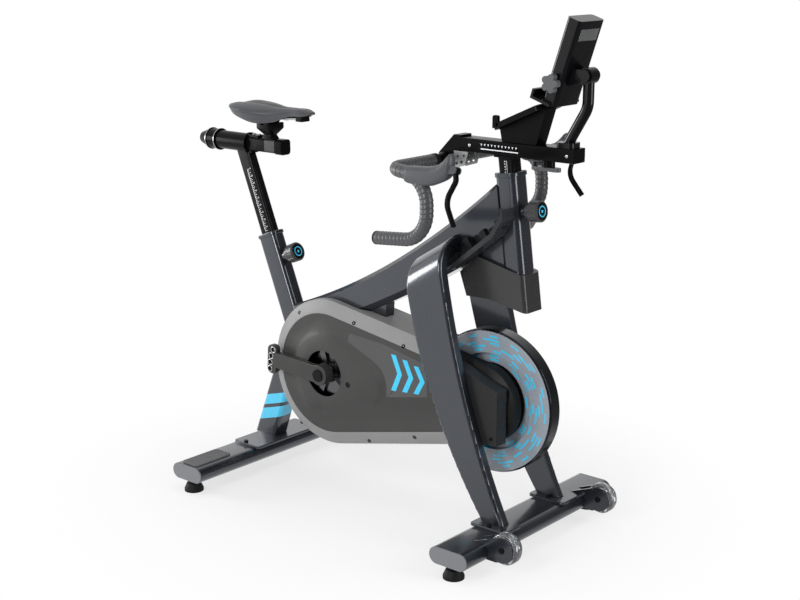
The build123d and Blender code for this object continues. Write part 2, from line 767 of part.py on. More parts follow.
def beam_solid(margin):
    """Main beam, rising in an arc and widest at the legs, grown or shrunk by the margin."""
    rise = margin / cos(radians(BEAM_SLOPE))
    rear_x = CRANK_X + BEAM_TOP_REAR[0]
    front_x = CRANK_X + BEAM_LOW_FRONT[0]
    with BuildPart() as body:
        with BuildSketch(Plane.XZ):
            with BuildLine():
                top = ThreePointArc(*[
                    at((x, z + rise)) for x, z in (BEAM_TOP_REAR, BEAM_TOP_MIDDLE, BEAM_TOP_FRONT)
                ])
                low = ThreePointArc(*[
                    at((x, z - rise)) for x, z in (BEAM_LOW_REAR, BEAM_LOW_MIDDLE, BEAM_LOW_FRONT)
                ])
                Line(top @ 0, low @ 0)
                Line(top @ 1, low @ 1)
            make_face()
        extrude(amount=BEAM_MIDDLE_WIDTH, both=True)
        with BuildSketch(Plane.XY):
            Polygon(
                (rear_x, -BEAM_REAR_WIDTH / 2 - margin),
                (CRANK_X + BEAM_MIDDLE_DX, -BEAM_MIDDLE_WIDTH / 2 - margin),
                (front_x, -BEAM_FRONT_WIDTH / 2 - margin),
                (front_x, BEAM_FRONT_WIDTH / 2 + margin),
                (CRANK_X + BEAM_MIDDLE_DX, BEAM_MIDDLE_WIDTH / 2 + margin),
                (rear_x, BEAM_REAR_WIDTH / 2 + margin),
                align=None,
            )
        extrude(amount=2 * HEAD_TOP_Z, mode=Mode.INTERSECT)
        long_edges = body.edges().filter_by(lambda edge: edge.length > BEAM_MIDDLE_DX / 2)
        from_low = long_edges.sort_by(lambda edge: edge.center().Z - BEAM_RISE_PER_RUN * edge.center().X)
        chamfer(from_low[:4], BEAM_CHAMFER + margin / 2)
        long_edges = body.edges().filter_by(lambda edge: edge.length > BEAM_MIDDLE_DX / 2)
        from_low = long_edges.sort_by(lambda edge: edge.center().Z - BEAM_RISE_PER_RUN * edge.center().X)
        chamfer(from_low[-4:], BEAM_TOP_CHAMFER + margin / 2)
    return body.part


def rear_leg_solid(margin):
    """Rear leg, tapering from its base plate up to the back of the seat tube."""
    with BuildPart() as body:
        with BuildSketch(Plane.XY.offset(PLATE_TOP)):
            with Locations((CRANK_X + REAR_LEG_FOOT_DX, 0)):
                RectangleRounded(
                    REAR_LEG_FOOT_DEPTH + 2 * margin,
                    REAR_LEG_FOOT_WIDTH + 2 * margin,
                    SEAT_TUBE_CORNER + margin,
                )
        with BuildSketch(Plane.XY.offset(REAR_LEG_TOP_Z)):
            with Locations((CRANK_X + REAR_LEG_TOP_DX, 0)):
                RectangleRounded(
                    REAR_LEG_TOP_DEPTH + 2 * margin, SEAT_TUBE_WIDTH + 2 * margin, SEAT_TUBE_CORNER + margin
                )
        loft(ruled=True)
    return body.part


def leg_solid(margin):
    """Right front leg: its bowed side outline crossed with the arch seen from the front."""
    slope = radians(LEG_CREST_SLOPE)
    arch_z = LEG_CREST_Z - LEG_ARCH_RADIUS
    arch_y = LEG_OUTER_Y - LEG_ARCH_RADIUS
    outer = LEG_ARCH_RADIUS + margin
    inner = LEG_ARCH_RADIUS - LEG_THICKNESS - margin
    reach = 2 * HEAD_TOP_Z
    with BuildPart() as body:
        with BuildSketch(Plane.XZ):
            with BuildLine():
                rear = ThreePointArc(
                    at((LEG_REAR_FOOT_DX - margin, PLATE_TOP)),
                    at((LEG_REAR_WAIST[0] - margin, LEG_REAR_WAIST[1])),
                    at((LEG_REAR_SHOULDER[0] - margin, LEG_REAR_SHOULDER[1])),
                )
                front = ThreePointArc(
                    at((LEG_FRONT_FOOT_DX + margin, PLATE_TOP)),
                    at((LEG_FRONT_WAIST[0] + margin, LEG_FRONT_WAIST[1])),
                    at((LEG_FRONT_SHOULDER[0] + margin, LEG_FRONT_SHOULDER[1])),
                )
                Line(rear @ 0, front @ 0)
                Polyline(
                    rear @ 1,
                    ((rear @ 1).X, SLIDER_LOW),
                    ((front @ 1).X, SLIDER_LOW),
                    front @ 1,
                )
            make_face()
        extrude(amount=2 * LEG_OUTER_Y)
        with BuildSketch(Plane.YZ.offset(CRANK_X + LEG_CREST_DX)):
            with BuildLine():
                Polyline((0, arch_z + inner), (-arch_y, arch_z + inner))
                RadiusArc((-arch_y, arch_z + inner), (-arch_y - inner, arch_z), -inner)
                Polyline(
                    (-arch_y - inner, arch_z),
                    (-arch_y - inner, -reach),
                    (-arch_y - outer, -reach),
                    (-arch_y - outer, arch_z),
                )
                RadiusArc((-arch_y, arch_z + outer), (-arch_y - outer, arch_z), -outer)
                Polyline((-arch_y, arch_z + outer), (0, arch_z + outer), (0, arch_z + inner))
            make_face()
        extrude(amount=reach, both=True, dir=(cos(slope), 0, sin(slope)), mode=Mode.INTERSECT)
    return body.part


HEAD_TUBE_SIZE = (HEAD_TUBE_DEPTH, HEAD_TUBE_WIDTH)
head_envelope = bar_slab(
    HEAD_PLANE.offset(-HEAD_TUBE_LENGTH), HEAD_TUBE_SIZE, HEAD_TUBE_CORNER, 2 * HEAD_TUBE_LENGTH
)

chin_front_low = (head_axis(CHIN_FRONT_LOW_Z).X + HEAD_TUBE_DEPTH / 2 + CHIN_WALL, CHIN_FRONT_LOW_Z)
chin_front_top = (head_axis(CHIN_FRONT_TOP_Z).X + HEAD_TUBE_DEPTH / 2 + CHIN_WALL, CHIN_FRONT_TOP_Z)

with BuildPart() as main_beam:
    add(beam_solid(0))
    # Gusset that fills the corner between the beam, the chin cover and the head tube
    with BuildSketch(Plane.XZ):
        Polygon(at(CHIN_TOP), chin_front_top, at(BEAM_LOW_FRONT), at(BEAM_TOP_FRONT), align=None)
    extrude(amount=GUSSET_WIDTH / 2, both=True)
    add(beam_solid(-BEAM_WALL), mode=Mode.SUBTRACT)
    add(half_space(SEAT_PLANE, -4 * SEAT_TUBE_DEPTH, SEAT_TUBE_DEPTH / 2, 1000), mode=Mode.SUBTRACT)
    # The front end laps round the rear corners of the head tube
    lap = BEAM_LAP - HEAD_TUBE_DEPTH / 2
    add(half_space(HEAD_PLANE, lap, 4 * HEAD_TUBE_DEPTH, 1000), mode=Mode.SUBTRACT)
    add(head_envelope, mode=Mode.SUBTRACT)
save(main_beam, "main_beam")

with BuildPart() as rear_leg:
    add(rear_leg_solid(0))
    add(rear_leg_solid(-TUBE_WALL), mode=Mode.SUBTRACT)
    add(half_space(SEAT_PLANE, -SEAT_TUBE_DEPTH / 2, 8 * SEAT_TUBE_DEPTH, 1000), mode=Mode.SUBTRACT)
save(rear_leg, "rear_leg")

with BuildPart() as front_leg_right:
    add(leg_solid(0))
    outer_edges = front_leg_right.edges().filter_by(
        lambda edge: edge.length > LEG_ARCH_RADIUS and edge.center().Y < -LEG_INNER_Y
    )
    fillet(outer_edges.sort_by(lambda edge: edge.center().Y)[:2], LEG_EDGE_FILLET)
    add(leg_solid(-LEG_WALL), mode=Mode.SUBTRACT)
    add(beam_solid(0), mode=Mode.SUBTRACT)
save(front_leg_right, "front_leg_right")

with BuildPart() as front_leg_left:
    mirror(front_leg_right.part, about=Plane.XZ)
save(front_leg_left, "front_leg_left")


def knob_plane(tube_plane, drop, depth):
    """Plane on a tube's front face, its normal along the clamp knob's axis."""
    face = tube_plane.offset(-drop)
    return Plane(origin=face.origin + face.x_dir * (depth / 2), x_dir=face.y_dir, z_dir=face.x_dir)


SEAT_KNOB_PLANE = knob_plane(SEAT_PLANE, SEAT_KNOB_DROP, SEAT_TUBE_DEPTH)
BAR_KNOB_PLANE = knob_plane(HEAD_PLANE, BAR_KNOB_DROP, HEAD_TUBE_DEPTH)


def bossed_tube(plane, outer, corner, length, boss_plane):
    """Post tube with a drilled boss for its clamp screw on the front face."""
    inner = (outer[0] - 2 * TUBE_WALL, outer[1] - 2 * TUBE_WALL)
    with BuildPart() as tube:
        add(ring_slab(plane.offset(-length), outer, inner, corner, length))
        with BuildSketch(boss_plane):
            Circle(KNOB_BOSS_RADIUS)
        extrude(amount=KNOB_BOSS_LENGTH)
        with BuildSketch(boss_plane.offset(-TUBE_WALL)):
            Circle(KNOB_SHAFT_RADIUS + RUNNING_CLEARANCE)
        extrude(amount=TUBE_WALL + KNOB_BOSS_LENGTH, mode=Mode.SUBTRACT)
    return tube


SEAT_TUBE_SIZE = (SEAT_TUBE_DEPTH, SEAT_TUBE_WIDTH)
SEATPOST_SIZE = (SEATPOST_DEPTH, SEATPOST_WIDTH)
BAR_POST_SIZE = (BAR_POST_DEPTH, BAR_POST_WIDTH)

seat_tube = bossed_tube(SEAT_PLANE, SEAT_TUBE_SIZE, SEAT_TUBE_CORNER, SEAT_TUBE_LENGTH, SEAT_KNOB_PLANE)
save(seat_tube, "seat_tube")
head_tube = bossed_tube(HEAD_PLANE, HEAD_TUBE_SIZE, HEAD_TUBE_CORNER, HEAD_TUBE_LENGTH, BAR_KNOB_PLANE)
save(head_tube, "head_tube")


def grown(size, extra):
    """Rectangle size grown by the same amount on every side."""
    return (size[0] + 2 * extra, size[1] + 2 * extra)


def bush(plane, tube, tube_corner, post, post_corner):
    """Flanged plastic bush between a tube's mouth and its post."""
    hole = grown(post, SLIDE_CLEARANCE)
    with BuildPart() as body:
        inside = grown(tube, -TUBE_WALL)
        add(bar_slab(plane.offset(-BUSH_LENGTH), inside, tube_corner - TUBE_WALL, BUSH_LENGTH))
        with BuildSketch(plane):
            RectangleRounded(*grown(tube, BUSH_FLANGE), tube_corner + BUSH_FLANGE)
        extrude(amount=BUSH_FLANGE_HEIGHT)
        chamfer(body.faces().sort_by(Axis.Z)[-1].edges(), BUSH_FLANGE / 2)
        add(
            bar_slab(plane.offset(-2 * BUSH_LENGTH), hole, post_corner + SLIDE_CLEARANCE, 4 * BUSH_LENGTH),
            mode=Mode.SUBTRACT,
        )
    return body.part


with BuildPart() as tube_bushes:
    add(bush(SEAT_PLANE, SEAT_TUBE_SIZE, SEAT_TUBE_CORNER, SEATPOST_SIZE, SEATPOST_CORNER))
    add(bush(HEAD_PLANE, HEAD_TUBE_SIZE, HEAD_TUBE_CORNER, BAR_POST_SIZE, BAR_POST_CORNER))
save(tube_bushes, "tube_bushes")


def clamp_knob(plane, depth):
    """Clamp knob whose screw passes the boss and stops just short of the post."""
    start = KNOB_BOSS_LENGTH + SLIDE_CLEARANCE
    drum = start + KNOB_STEM_LENGTH + KNOB_NECK_LENGTH
    with BuildPart() as knob:
        for radius, low, high in (
            (KNOB_SHAFT_RADIUS, -depth, start),
            (KNOB_STEM_RADIUS, start, start + KNOB_STEM_LENGTH),
            (KNOB_NECK_RADIUS, start + KNOB_STEM_LENGTH, drum),
            (KNOB_RADIUS, drum, drum + KNOB_LENGTH),
        ):
            with BuildSketch(plane.offset(low)):
                Circle(radius)
            extrude(amount=high - low)
        rims = knob.edges().filter_by(GeomType.CIRCLE).group_by(SortBy.RADIUS)[-1]
        chamfer(rims, KNOB_CHAMFER)
        with BuildSketch(plane.offset(drum)):
            with PolarLocations(KNOB_RADIUS + KNOB_CHAMFER / 2, KNOB_FLUTES):
                Circle(KNOB_CHAMFER)
        extrude(amount=KNOB_LENGTH - 2 * KNOB_CHAMFER, mode=Mode.SUBTRACT)
    return knob


seat_height_knob = clamp_knob(SEAT_KNOB_PLANE, (SEAT_TUBE_DEPTH - SEATPOST_DEPTH) / 2 - SLIDE_CLEARANCE)
save(seat_height_knob, "seat_height_knob")
bar_height_knob = clamp_knob(BAR_KNOB_PLANE, (HEAD_TUBE_DEPTH - BAR_POST_DEPTH) / 2 - SLIDE_CLEARANCE)
save(bar_height_knob, "bar_height_knob")

with BuildPart() as chin_cover:
    with BuildSketch(Plane.XZ):
        Polygon(
            at(CHIN_REAR_LOW),
            at(CHIN_REAR_HIGH),
            at(CHIN_TOP),
            chin_front_top,
            chin_front_low,
            at(CHIN_LOW_BEND),
            align=None,
        )
    extrude(amount=CHIN_HALF_WIDTH, both=True)
    front_face = chin_cover.faces().sort_by(Axis.X)[-1]
    upright = front_face.edges().filter_by(lambda edge: abs(edge.center().Y) > CHIN_HALF_WIDTH / 2)
    fillet(upright, CHIN_CORNER)
    add(head_envelope, mode=Mode.SUBTRACT)
    add(beam_solid(0), mode=Mode.SUBTRACT)
save(chin_cover, "chin_cover")

with BuildPart() as bottle_trays:
    # Open ledge on the beam's side: floor, front wall and a low lip along the outer edge
    outline = (TRAY_LOW_REAR, TRAY_LOW_FRONT, TRAY_LIP_LOW, TRAY_LIP_TOP, TRAY_NOTCH)
    fence = (TRAY_LOW_REAR[0], TRAY_LOW_REAR[1] + TRAY_FENCE)
    tray_out = BEAM_MIDDLE_WIDTH / 2 + TRAY_OUT
    with BuildSketch(Plane.XZ):
        Polygon(*[at(point) for point in outline], at(fence), align=None)
    extrude(amount=tray_out)
    with BuildSketch(Plane.XZ):
        Rectangle(4 * BEAM_TOP_FRONT[0], 4 * HEAD_TOP_Z)
    extrude(amount=BEAM_FRONT_WIDTH / 2, mode=Mode.SUBTRACT)
    corner = bottle_trays.edges().filter_by(Axis.Y).sort_by(Axis.X)
    fillet(corner[-2:], TRAY_CORNER)
    with BuildSketch(Plane.XZ):
        Polygon(
            *[at((x - TRAY_WALL, z + TRAY_WALL)) for x, z in outline],
            at((fence[0] - TRAY_WALL, fence[1] + TRAY_OUT)),
            align=None,
        )
    extrude(amount=tray_out - TRAY_WALL, mode=Mode.SUBTRACT)
    with BuildSketch(Plane.XZ):
        Polygon(
            *[at((x - TRAY_EDGE, z + TRAY_EDGE)) for x, z in outline],
            at((fence[0] - TRAY_EDGE, fence[1] + TRAY_OUT)),
            align=None,
        )
    extrude(amount=tray_out, mode=Mode.SUBTRACT)
    add(beam_solid(0), mode=Mode.SUBTRACT)
    add(head_envelope, mode=Mode.SUBTRACT)
    mirror(about=Plane.XZ)
save(bottle_trays, "bottle_trays")


def web_solid(margin):
    """Upright web that joins the crank shell to the seat tube and the beam."""
    with BuildPart() as body:
        with BuildSketch(Plane.XZ):
            Polygon(
                at((-SEAT_TUBE_SETBACK - SEAT_TUBE_DEPTH, WEB_FOOT_Z - margin)),
                at((0, WEB_FOOT_Z - margin)),
                at((WEB_FRONT_LOW[0] + margin, WEB_FRONT_LOW[1])),
                at((WEB_FRONT_WAIST[0] + margin, WEB_FRONT_WAIST[1])),
                at((WEB_FRONT_TOP[0] + margin, WEB_FRONT_TOP[1])),
                at(WEB_REAR_TOP),
                align=None,
            )
        extrude(amount=WEB_THICKNESS / 2 + margin, both=True)
    return body.part


with BuildPart() as drive_frame:
    add(web_solid(0))
    add(web_solid(-TUBE_WALL), mode=Mode.SUBTRACT)
    add(half_space(SEAT_PLANE, -4 * SEAT_TUBE_DEPTH, SEAT_TUBE_DEPTH / 2, 1000), mode=Mode.SUBTRACT)
    add(beam_solid(0), mode=Mode.SUBTRACT)
    with BuildSketch(Plane.XZ):
        with Locations(CRANK_POINT):
            Circle(SHELL_RADIUS)
    extrude(amount=STAY_OUTER_Y, both=True)
    for side in (-1, 1):
        with BuildSketch(Plane.XZ.offset(side * STAY_INNER_Y)):
            teardrop(STAY_REAR_RADIUS, STAY_FRONT_RADIUS)
            with Locations(AXLE_POINT):
                Circle(AXLE_BEARING_RADIUS, mode=Mode.SUBTRACT)
        extrude(amount=side * STAY_THICKNESS)
    with BuildSketch(Plane.XZ):
        with Locations(CRANK_POINT):
            Circle(SHELL_BORE)
    extrude(amount=STAY_OUTER_Y, both=True, mode=Mode.SUBTRACT)
save(drive_frame, "drive_frame")

with BuildPart() as bearings:
    for centre, outer, inner in (
        (CRANK_POINT, SHELL_BORE, SPINDLE_RADIUS),
        (AXLE_POINT, AXLE_BEARING_RADIUS, SHAFT_RADIUS),
    ):
        for side in (-1, 1):
            with BuildSketch(Plane.XZ.offset(side * STAY_INNER_Y)):
                with Locations(centre):
                    Circle(outer)
                    Circle(inner + RUNNING_CLEARANCE, mode=Mode.SUBTRACT)
            extrude(amount=side * STAY_THICKNESS)
save(bearings, "bearings")


# Drive

with BuildPart() as flywheel:
    for outer, inner, width in (
        (FLYWHEEL_RADIUS, FLYWHEEL_RIM_INNER, FLYWHEEL_THICKNESS),
        (FLYWHEEL_RIM_INNER, FLYWHEEL_HUB_RADIUS, FLYWHEEL_WEB),
        (FLYWHEEL_HUB_RADIUS, SHAFT_RADIUS, FLYWHEEL_HUB_WIDTH),
    ):
        with BuildSketch(Plane.XZ):
            with Locations(AXLE_POINT):
                Circle(outer)
                Circle(inner, mode=Mode.SUBTRACT)
        extrude(amount=width / 2, both=True)
    rims = flywheel.edges().filter_by(GeomType.CIRCLE).group_by(SortBy.RADIUS)[-1]
    chamfer(rims, FLYWHEEL_EDGE)
save(flywheel, "flywheel")

with BuildPart() as flywheel_shaft:
    shaft_right = BELT_OUTER_Y + PULLEY_EXTRA_WIDTH + SHAFT_END
    add(cylinder_y(AXLE_POINT, SHAFT_RADIUS, -STAY_OUTER_Y - SHAFT_END, shaft_right))
    add(
        cylinder_y(
            AXLE_POINT,
            AXLE_PULLEY_RADIUS,
            BELT_INNER_Y - PULLEY_EXTRA_WIDTH,
            BELT_OUTER_Y + PULLEY_EXTRA_WIDTH,
        )
    )
save(flywheel_shaft, "flywheel_shaft")

with BuildPart() as drive_belt:
    with BuildSketch(Plane.XZ.offset(BELT_INNER_Y)):
        teardrop(
            DRIVE_PULLEY_RADIUS + SLIDE_CLEARANCE + BELT_THICKNESS,
            AXLE_PULLEY_RADIUS + SLIDE_CLEARANCE + BELT_THICKNESS,
        )
    extrude(amount=BELT_WIDTH)
    with BuildSketch(Plane.XZ.offset(BELT_INNER_Y)):
        teardrop(DRIVE_PULLEY_RADIUS + SLIDE_CLEARANCE, AXLE_PULLEY_RADIUS + SLIDE_CLEARANCE)
    extrude(amount=BELT_WIDTH, mode=Mode.SUBTRACT)
save(drive_belt, "drive_belt")

with BuildPart() as drive_pulley:
    pulley_inner = BELT_INNER_Y - PULLEY_EXTRA_WIDTH
    pulley_outer = BELT_OUTER_Y + PULLEY_EXTRA_WIDTH
    hub_outer = CRANK_INNER_Y - CRANK_BOSS_DEPTH
    add(cylinder_y(CRANK_POINT, DRIVE_PULLEY_RADIUS, pulley_inner, pulley_outer))
    add(
        cylinder_y(CRANK_POINT, DRIVE_PULLEY_RADIUS - PULLEY_RIM, pulley_inner, pulley_outer - PULLEY_WEB),
        mode=Mode.SUBTRACT,
    )
    add(cylinder_y(CRANK_POINT, 2 * SPINDLE_RADIUS, pulley_inner, hub_outer))
    # Spider with one arm in line with the right crank
    with BuildSketch(Plane.XZ.offset(pulley_outer)):
        for arm in range(SPIDER_ARMS):
            turn = 180 - CRANK_ANGLE + arm * 360 / SPIDER_ARMS
            with Locations(Location((CRANK_X, CRANK_Z), turn)):
                with Locations((SPIDER_RADIUS / 2, 0)):
                    SlotOverall(SPIDER_RADIUS, SPIDER_ARM_WIDTH)
    extrude(amount=SPIDER_THICKNESS)
    with BuildSketch(Plane.XZ.offset(pulley_inner)):
        with Locations(CRANK_POINT):
            Circle(SPINDLE_RADIUS)
    extrude(amount=hub_outer, mode=Mode.SUBTRACT)
save(drive_pulley, "drive_pulley")

with BuildPart() as brake_magnet:
    magnet_front = AXLE_DX - FLYWHEEL_RADIUS + MAGNET_REACH
    with BuildSketch(Plane.XZ):
        with Locations(at((magnet_front - MAGNET_LENGTH / 2, AXLE_Z))):
            RectangleRounded(MAGNET_LENGTH, MAGNET_HEIGHT, PLATE_CORNER)
    extrude(amount=STAY_INNER_Y, both=True)
    slot_half = FLYWHEEL_THICKNESS / 2 + MAGNET_AIR_GAP
    add(cylinder_y(AXLE_POINT, FLYWHEEL_RADIUS + MAGNET_AIR_GAP, -slot_half, slot_half), mode=Mode.SUBTRACT)
save(brake_magnet, "brake_magnet")

with BuildPart() as crank_spindle:
    spindle_reach = CRANK_INNER_Y + CRANK_THICKNESS
    add(cylinder_y(CRANK_POINT, SPINDLE_RADIUS, -spindle_reach, spindle_reach))
    for side in (-1, 1):
        with BuildSketch(Plane.XZ.offset(side * spindle_reach)):
            with Locations(CRANK_POINT):
                Circle(CRANK_BOLT_RADIUS)
        extrude(amount=side * CRANK_BOLT_HEIGHT)
save(crank_spindle, "crank_spindle")


def crank_arm(side, turn):
    """Crank arm on one side, turned about the spindle, with four pedal places across its head."""
    arm_turn = radians(turn)
    plane = Plane(
        origin=(CRANK_X, side * CRANK_INNER_Y, CRANK_Z),
        x_dir=(cos(arm_turn), 0, sin(arm_turn)),
        z_dir=(0, side, 0),
    )
    head_radius = sum(PEDAL_RADII) / len(PEDAL_RADII)
    with BuildPart() as arm:
        with BuildSketch(plane):
            Circle(CRANK_BOSS_RADIUS)
            Polygon(
                (0, -CRANK_ROOT_WIDTH / 2),
                (head_radius, -CRANK_TIP_WIDTH / 2),
                (head_radius, CRANK_TIP_WIDTH / 2),
                (0, CRANK_ROOT_WIDTH / 2),
                align=None,
            )
            with Locations((head_radius - PEDAL_HOLE_RADIUS / 2, 0)):
                RectangleRounded(CRANK_HEAD_LENGTH, CRANK_HEAD_WIDTH, CRANK_HEAD_CORNER)
        extrude(amount=CRANK_THICKNESS)
        outer_face = arm.faces().sort_by(Axis.Y)[-1 if side > 0 else 0]
        fillet(outer_face.edges(), CRANK_EDGE)
        with BuildSketch(plane):
            Circle(CRANK_BOSS_RADIUS)
        extrude(amount=-CRANK_BOSS_DEPTH)
        with BuildSketch(plane.offset(-CRANK_BOSS_DEPTH)):
            Circle(SPINDLE_RADIUS)
        extrude(amount=CRANK_BOSS_DEPTH + CRANK_THICKNESS, mode=Mode.SUBTRACT)
        with BuildSketch(plane):
            for place, radius in enumerate(PEDAL_RADII):
                across = (place - (len(PEDAL_RADII) - 1) / 2) * PEDAL_SPACING
                with Locations((sqrt(radius**2 - across**2), across)):
                    Circle(PEDAL_HOLE_RADIUS)
        extrude(amount=CRANK_THICKNESS, mode=Mode.SUBTRACT)
    return arm


crank_arm_right = crank_arm(-1, 180 - CRANK_ANGLE)
save(crank_arm_right, "crank_arm_right")
crank_arm_left = crank_arm(1, -CRANK_ANGLE)
save(crank_arm_left, "crank_arm_left")


# Covers

def cover_stack(levels):
    """Solid through teardrop outlines, each given as (distance out, inset from the full outline)."""
    with BuildPart() as body:
        for (low, low_inset), (high, high_inset) in zip(levels, levels[1:]):
            with BuildSketch(Plane.XZ.offset(low)):
                teardrop(COVER_REAR_RADIUS - low_inset, COVER_FRONT_RADIUS - low_inset)
            with BuildSketch(Plane.XZ.offset(high)):
                teardrop(COVER_REAR_RADIUS - high_inset, COVER_FRONT_RADIUS - high_inset)
            loft(ruled=True)
    return body.part


panel_inset = COVER_BAND + COVER_WALL
ledge_y = COVER_FACE_Y - PANEL_DEPTH
tunnel_y = ledge_y - COVER_LEDGE_THICKNESS

with BuildPart() as belt_cover_right:
    add(cover_stack(((COVER_SPLIT, 0), (COVER_BEVEL_Y, 0), (COVER_FACE_Y, COVER_BAND))))
    add(
        cover_stack((
            (0, COVER_WALL),
            (COVER_BEVEL_Y - COVER_WALL, COVER_WALL),
            (tunnel_y, COVER_BAND),
        )),
        mode=Mode.SUBTRACT,
    )
    add(
        cover_stack(((tunnel_y - 1, panel_inset + COVER_LEDGE), (COVER_FACE_Y, panel_inset + COVER_LEDGE))),
        mode=Mode.SUBTRACT,
    )
    add(
        cover_stack((
            (ledge_y, panel_inset - SLIDE_CLEARANCE),
            (COVER_FACE_Y, panel_inset - SLIDE_CLEARANCE),
        )),
        mode=Mode.SUBTRACT,
    )
    # Room for the flywheel and the frame members that pass the rim
    add(
        cylinder_y(AXLE_POINT, FLYWHEEL_RADIUS + 4 * COVER_GAP, -STAY_INNER_Y, STAY_INNER_Y),
        mode=Mode.SUBTRACT,
    )
    add(
        bar_slab(
            SEAT_PLANE.offset(-SEAT_TUBE_LENGTH - COVER_GAP),
            grown(SEAT_TUBE_SIZE, COVER_GAP),
            SEAT_TUBE_CORNER + COVER_GAP,
            SEAT_TUBE_LENGTH,
        ),
        mode=Mode.SUBTRACT,
    )
    add(rear_leg_solid(COVER_GAP), mode=Mode.SUBTRACT)
    add(web_solid(COVER_GAP), mode=Mode.SUBTRACT)
    add(beam_solid(COVER_GAP), mode=Mode.SUBTRACT)
save(belt_cover_right, "belt_cover_right")

with BuildPart() as belt_cover_left:
    mirror(belt_cover_right.part, about=Plane.XZ)
save(belt_cover_left, "belt_cover_left")


def dome_outline(inset):
    """Egg outline of the panel's raised middle, added to the open sketch."""
    with Locations(CRANK_POINT):
        Circle(DOME_RADIUS - inset)
    with Locations(at((DOME_NOSE_DX, CRANK_Z))):
        Circle(DOME_NOSE_RADIUS - inset)
    make_hull()


with BuildPart() as cover_panels:
    add(cover_stack(((ledge_y, panel_inset), (COVER_FACE_Y, panel_inset))))
    with BuildSketch(Plane.XZ.offset(COVER_FACE_Y)):
        dome_outline(0)
    with BuildSketch(Plane.XZ.offset(COVER_FACE_Y + DOME_RISE)):
        dome_outline(DOME_TAPER)
    loft(ruled=True)
    with BuildSketch(Plane.XZ.offset(COVER_FACE_Y - PANEL_THICKNESS)):
        dome_outline(DOME_TAPER)
    extrude(amount=DOME_RISE, mode=Mode.SUBTRACT)
    add(
        cover_stack((
            (ledge_y, panel_inset + COVER_LEDGE),
            (COVER_FACE_Y - PANEL_THICKNESS, panel_inset + COVER_LEDGE),
        )),
        mode=Mode.SUBTRACT,
    )
    add(cylinder_y(CRANK_POINT, CRANK_OPENING, ledge_y, COVER_FACE_Y + DOME_RISE), mode=Mode.SUBTRACT)
    mirror(about=Plane.XZ)
save(cover_panels, "cover_panels")

with BuildPart() as axle_supports:
    with BuildSketch(Plane.XZ.offset(COVER_FACE_Y)):
        Polygon(
            at((SUPPORT_REAR_DX, SUPPORT_LOW_Z)),
            at((SUPPORT_FRONT_DX, SUPPORT_LOW_Z)),
            at((SUPPORT_FRONT_DX, SUPPORT_FRONT_Z)),
            at((SUPPORT_REAR_DX, SUPPORT_REAR_Z)),
            align=None,
        )
    extrude(amount=LEG_INNER_Y - COVER_FACE_Y)
    fillet(axle_supports.edges().filter_by(Axis.Y), SUPPORT_EDGE)
    mirror(about=Plane.XZ)
save(axle_supports, "axle_supports")


# Seat

HOUSING_FRONT = seat_axis(SEAT_SLIDE_Z).X + HOUSING_AHEAD
HOUSING_REAR = HOUSING_FRONT - HOUSING_LENGTH
GUIDE_FRONT = HOUSING_FRONT + GUIDE_THICKNESS
SEAT_BAR_SIZE = (SEAT_BAR_WIDTH, SEAT_BAR_HEIGHT)
CLAMP_X = GUIDE_FRONT + SEAT_BAR_FRONT
BAR_JOINT_X = CLAMP_X + SLEEVE_BEHIND
SLEEVE_FRONT_X = BAR_JOINT_X + SLEEVE_LENGTH


def seat_slide_plane(x):
    """Upright plane across the seat slide; its x axis runs across the bike."""
    return Plane(origin=(x, 0, SEAT_SLIDE_Z), x_dir=(0, 1, 0), z_dir=(1, 0, 0))


with BuildPart() as seat_housing:
    with BuildSketch(seat_slide_plane(HOUSING_REAR)):
        Circle(HOUSING_RADIUS)
    extrude(amount=HOUSING_LENGTH)
    # Guide ring at the mouth, with a long lug over the bar and a short one below
    with BuildSketch(seat_slide_plane(HOUSING_FRONT)):
        Circle(GUIDE_RADIUS)
    extrude(amount=GUIDE_THICKNESS)
    lug_z = SEAT_BAR_HEIGHT / 2 + SLIDE_CLEARANCE + GUIDE_LUG_HEIGHT / 2
    for z, reach in ((lug_z, GUIDE_LUG_TOP), (-lug_z, GUIDE_LUG_LOW)):
        with BuildSketch(seat_slide_plane(HOUSING_FRONT)):
            with Locations((0, z)):
                Rectangle(GUIDE_LUG_WIDTH, GUIDE_LUG_HEIGHT)
        extrude(amount=reach)
    # Clamp collar: a plain drum between two beads
    for radius, low, length in (
        (COLLAR_RADIUS, 0, COLLAR_BEAD),
        (COLLAR_RADIUS - COLLAR_STEP, COLLAR_BEAD, COLLAR_LENGTH - 2 * COLLAR_BEAD),
        (COLLAR_RADIUS, COLLAR_LENGTH - COLLAR_BEAD, COLLAR_BEAD),
    ):
        with BuildSketch(seat_slide_plane(HOUSING_REAR - low)):
            Circle(radius)
        extrude(amount=-length)
    with BuildSketch(seat_slide_plane(HOUSING_REAR + HOUSING_BACK_WALL)):
        RectangleRounded(*grown(SEAT_BAR_SIZE, SLIDE_CLEARANCE), SEAT_BAR_CORNER + SLIDE_CLEARANCE)
    extrude(amount=HOUSING_LENGTH + GUIDE_LUG_TOP, mode=Mode.SUBTRACT)
    with BuildSketch(seat_slide_plane(HOUSING_REAR + HOUSING_BACK_WALL)):
        Circle(LOCK_SHAFT_RADIUS + RUNNING_CLEARANCE)
    extrude(amount=-HOUSING_BACK_WALL - COLLAR_LENGTH, mode=Mode.SUBTRACT)
save(seat_housing, "seat_housing")

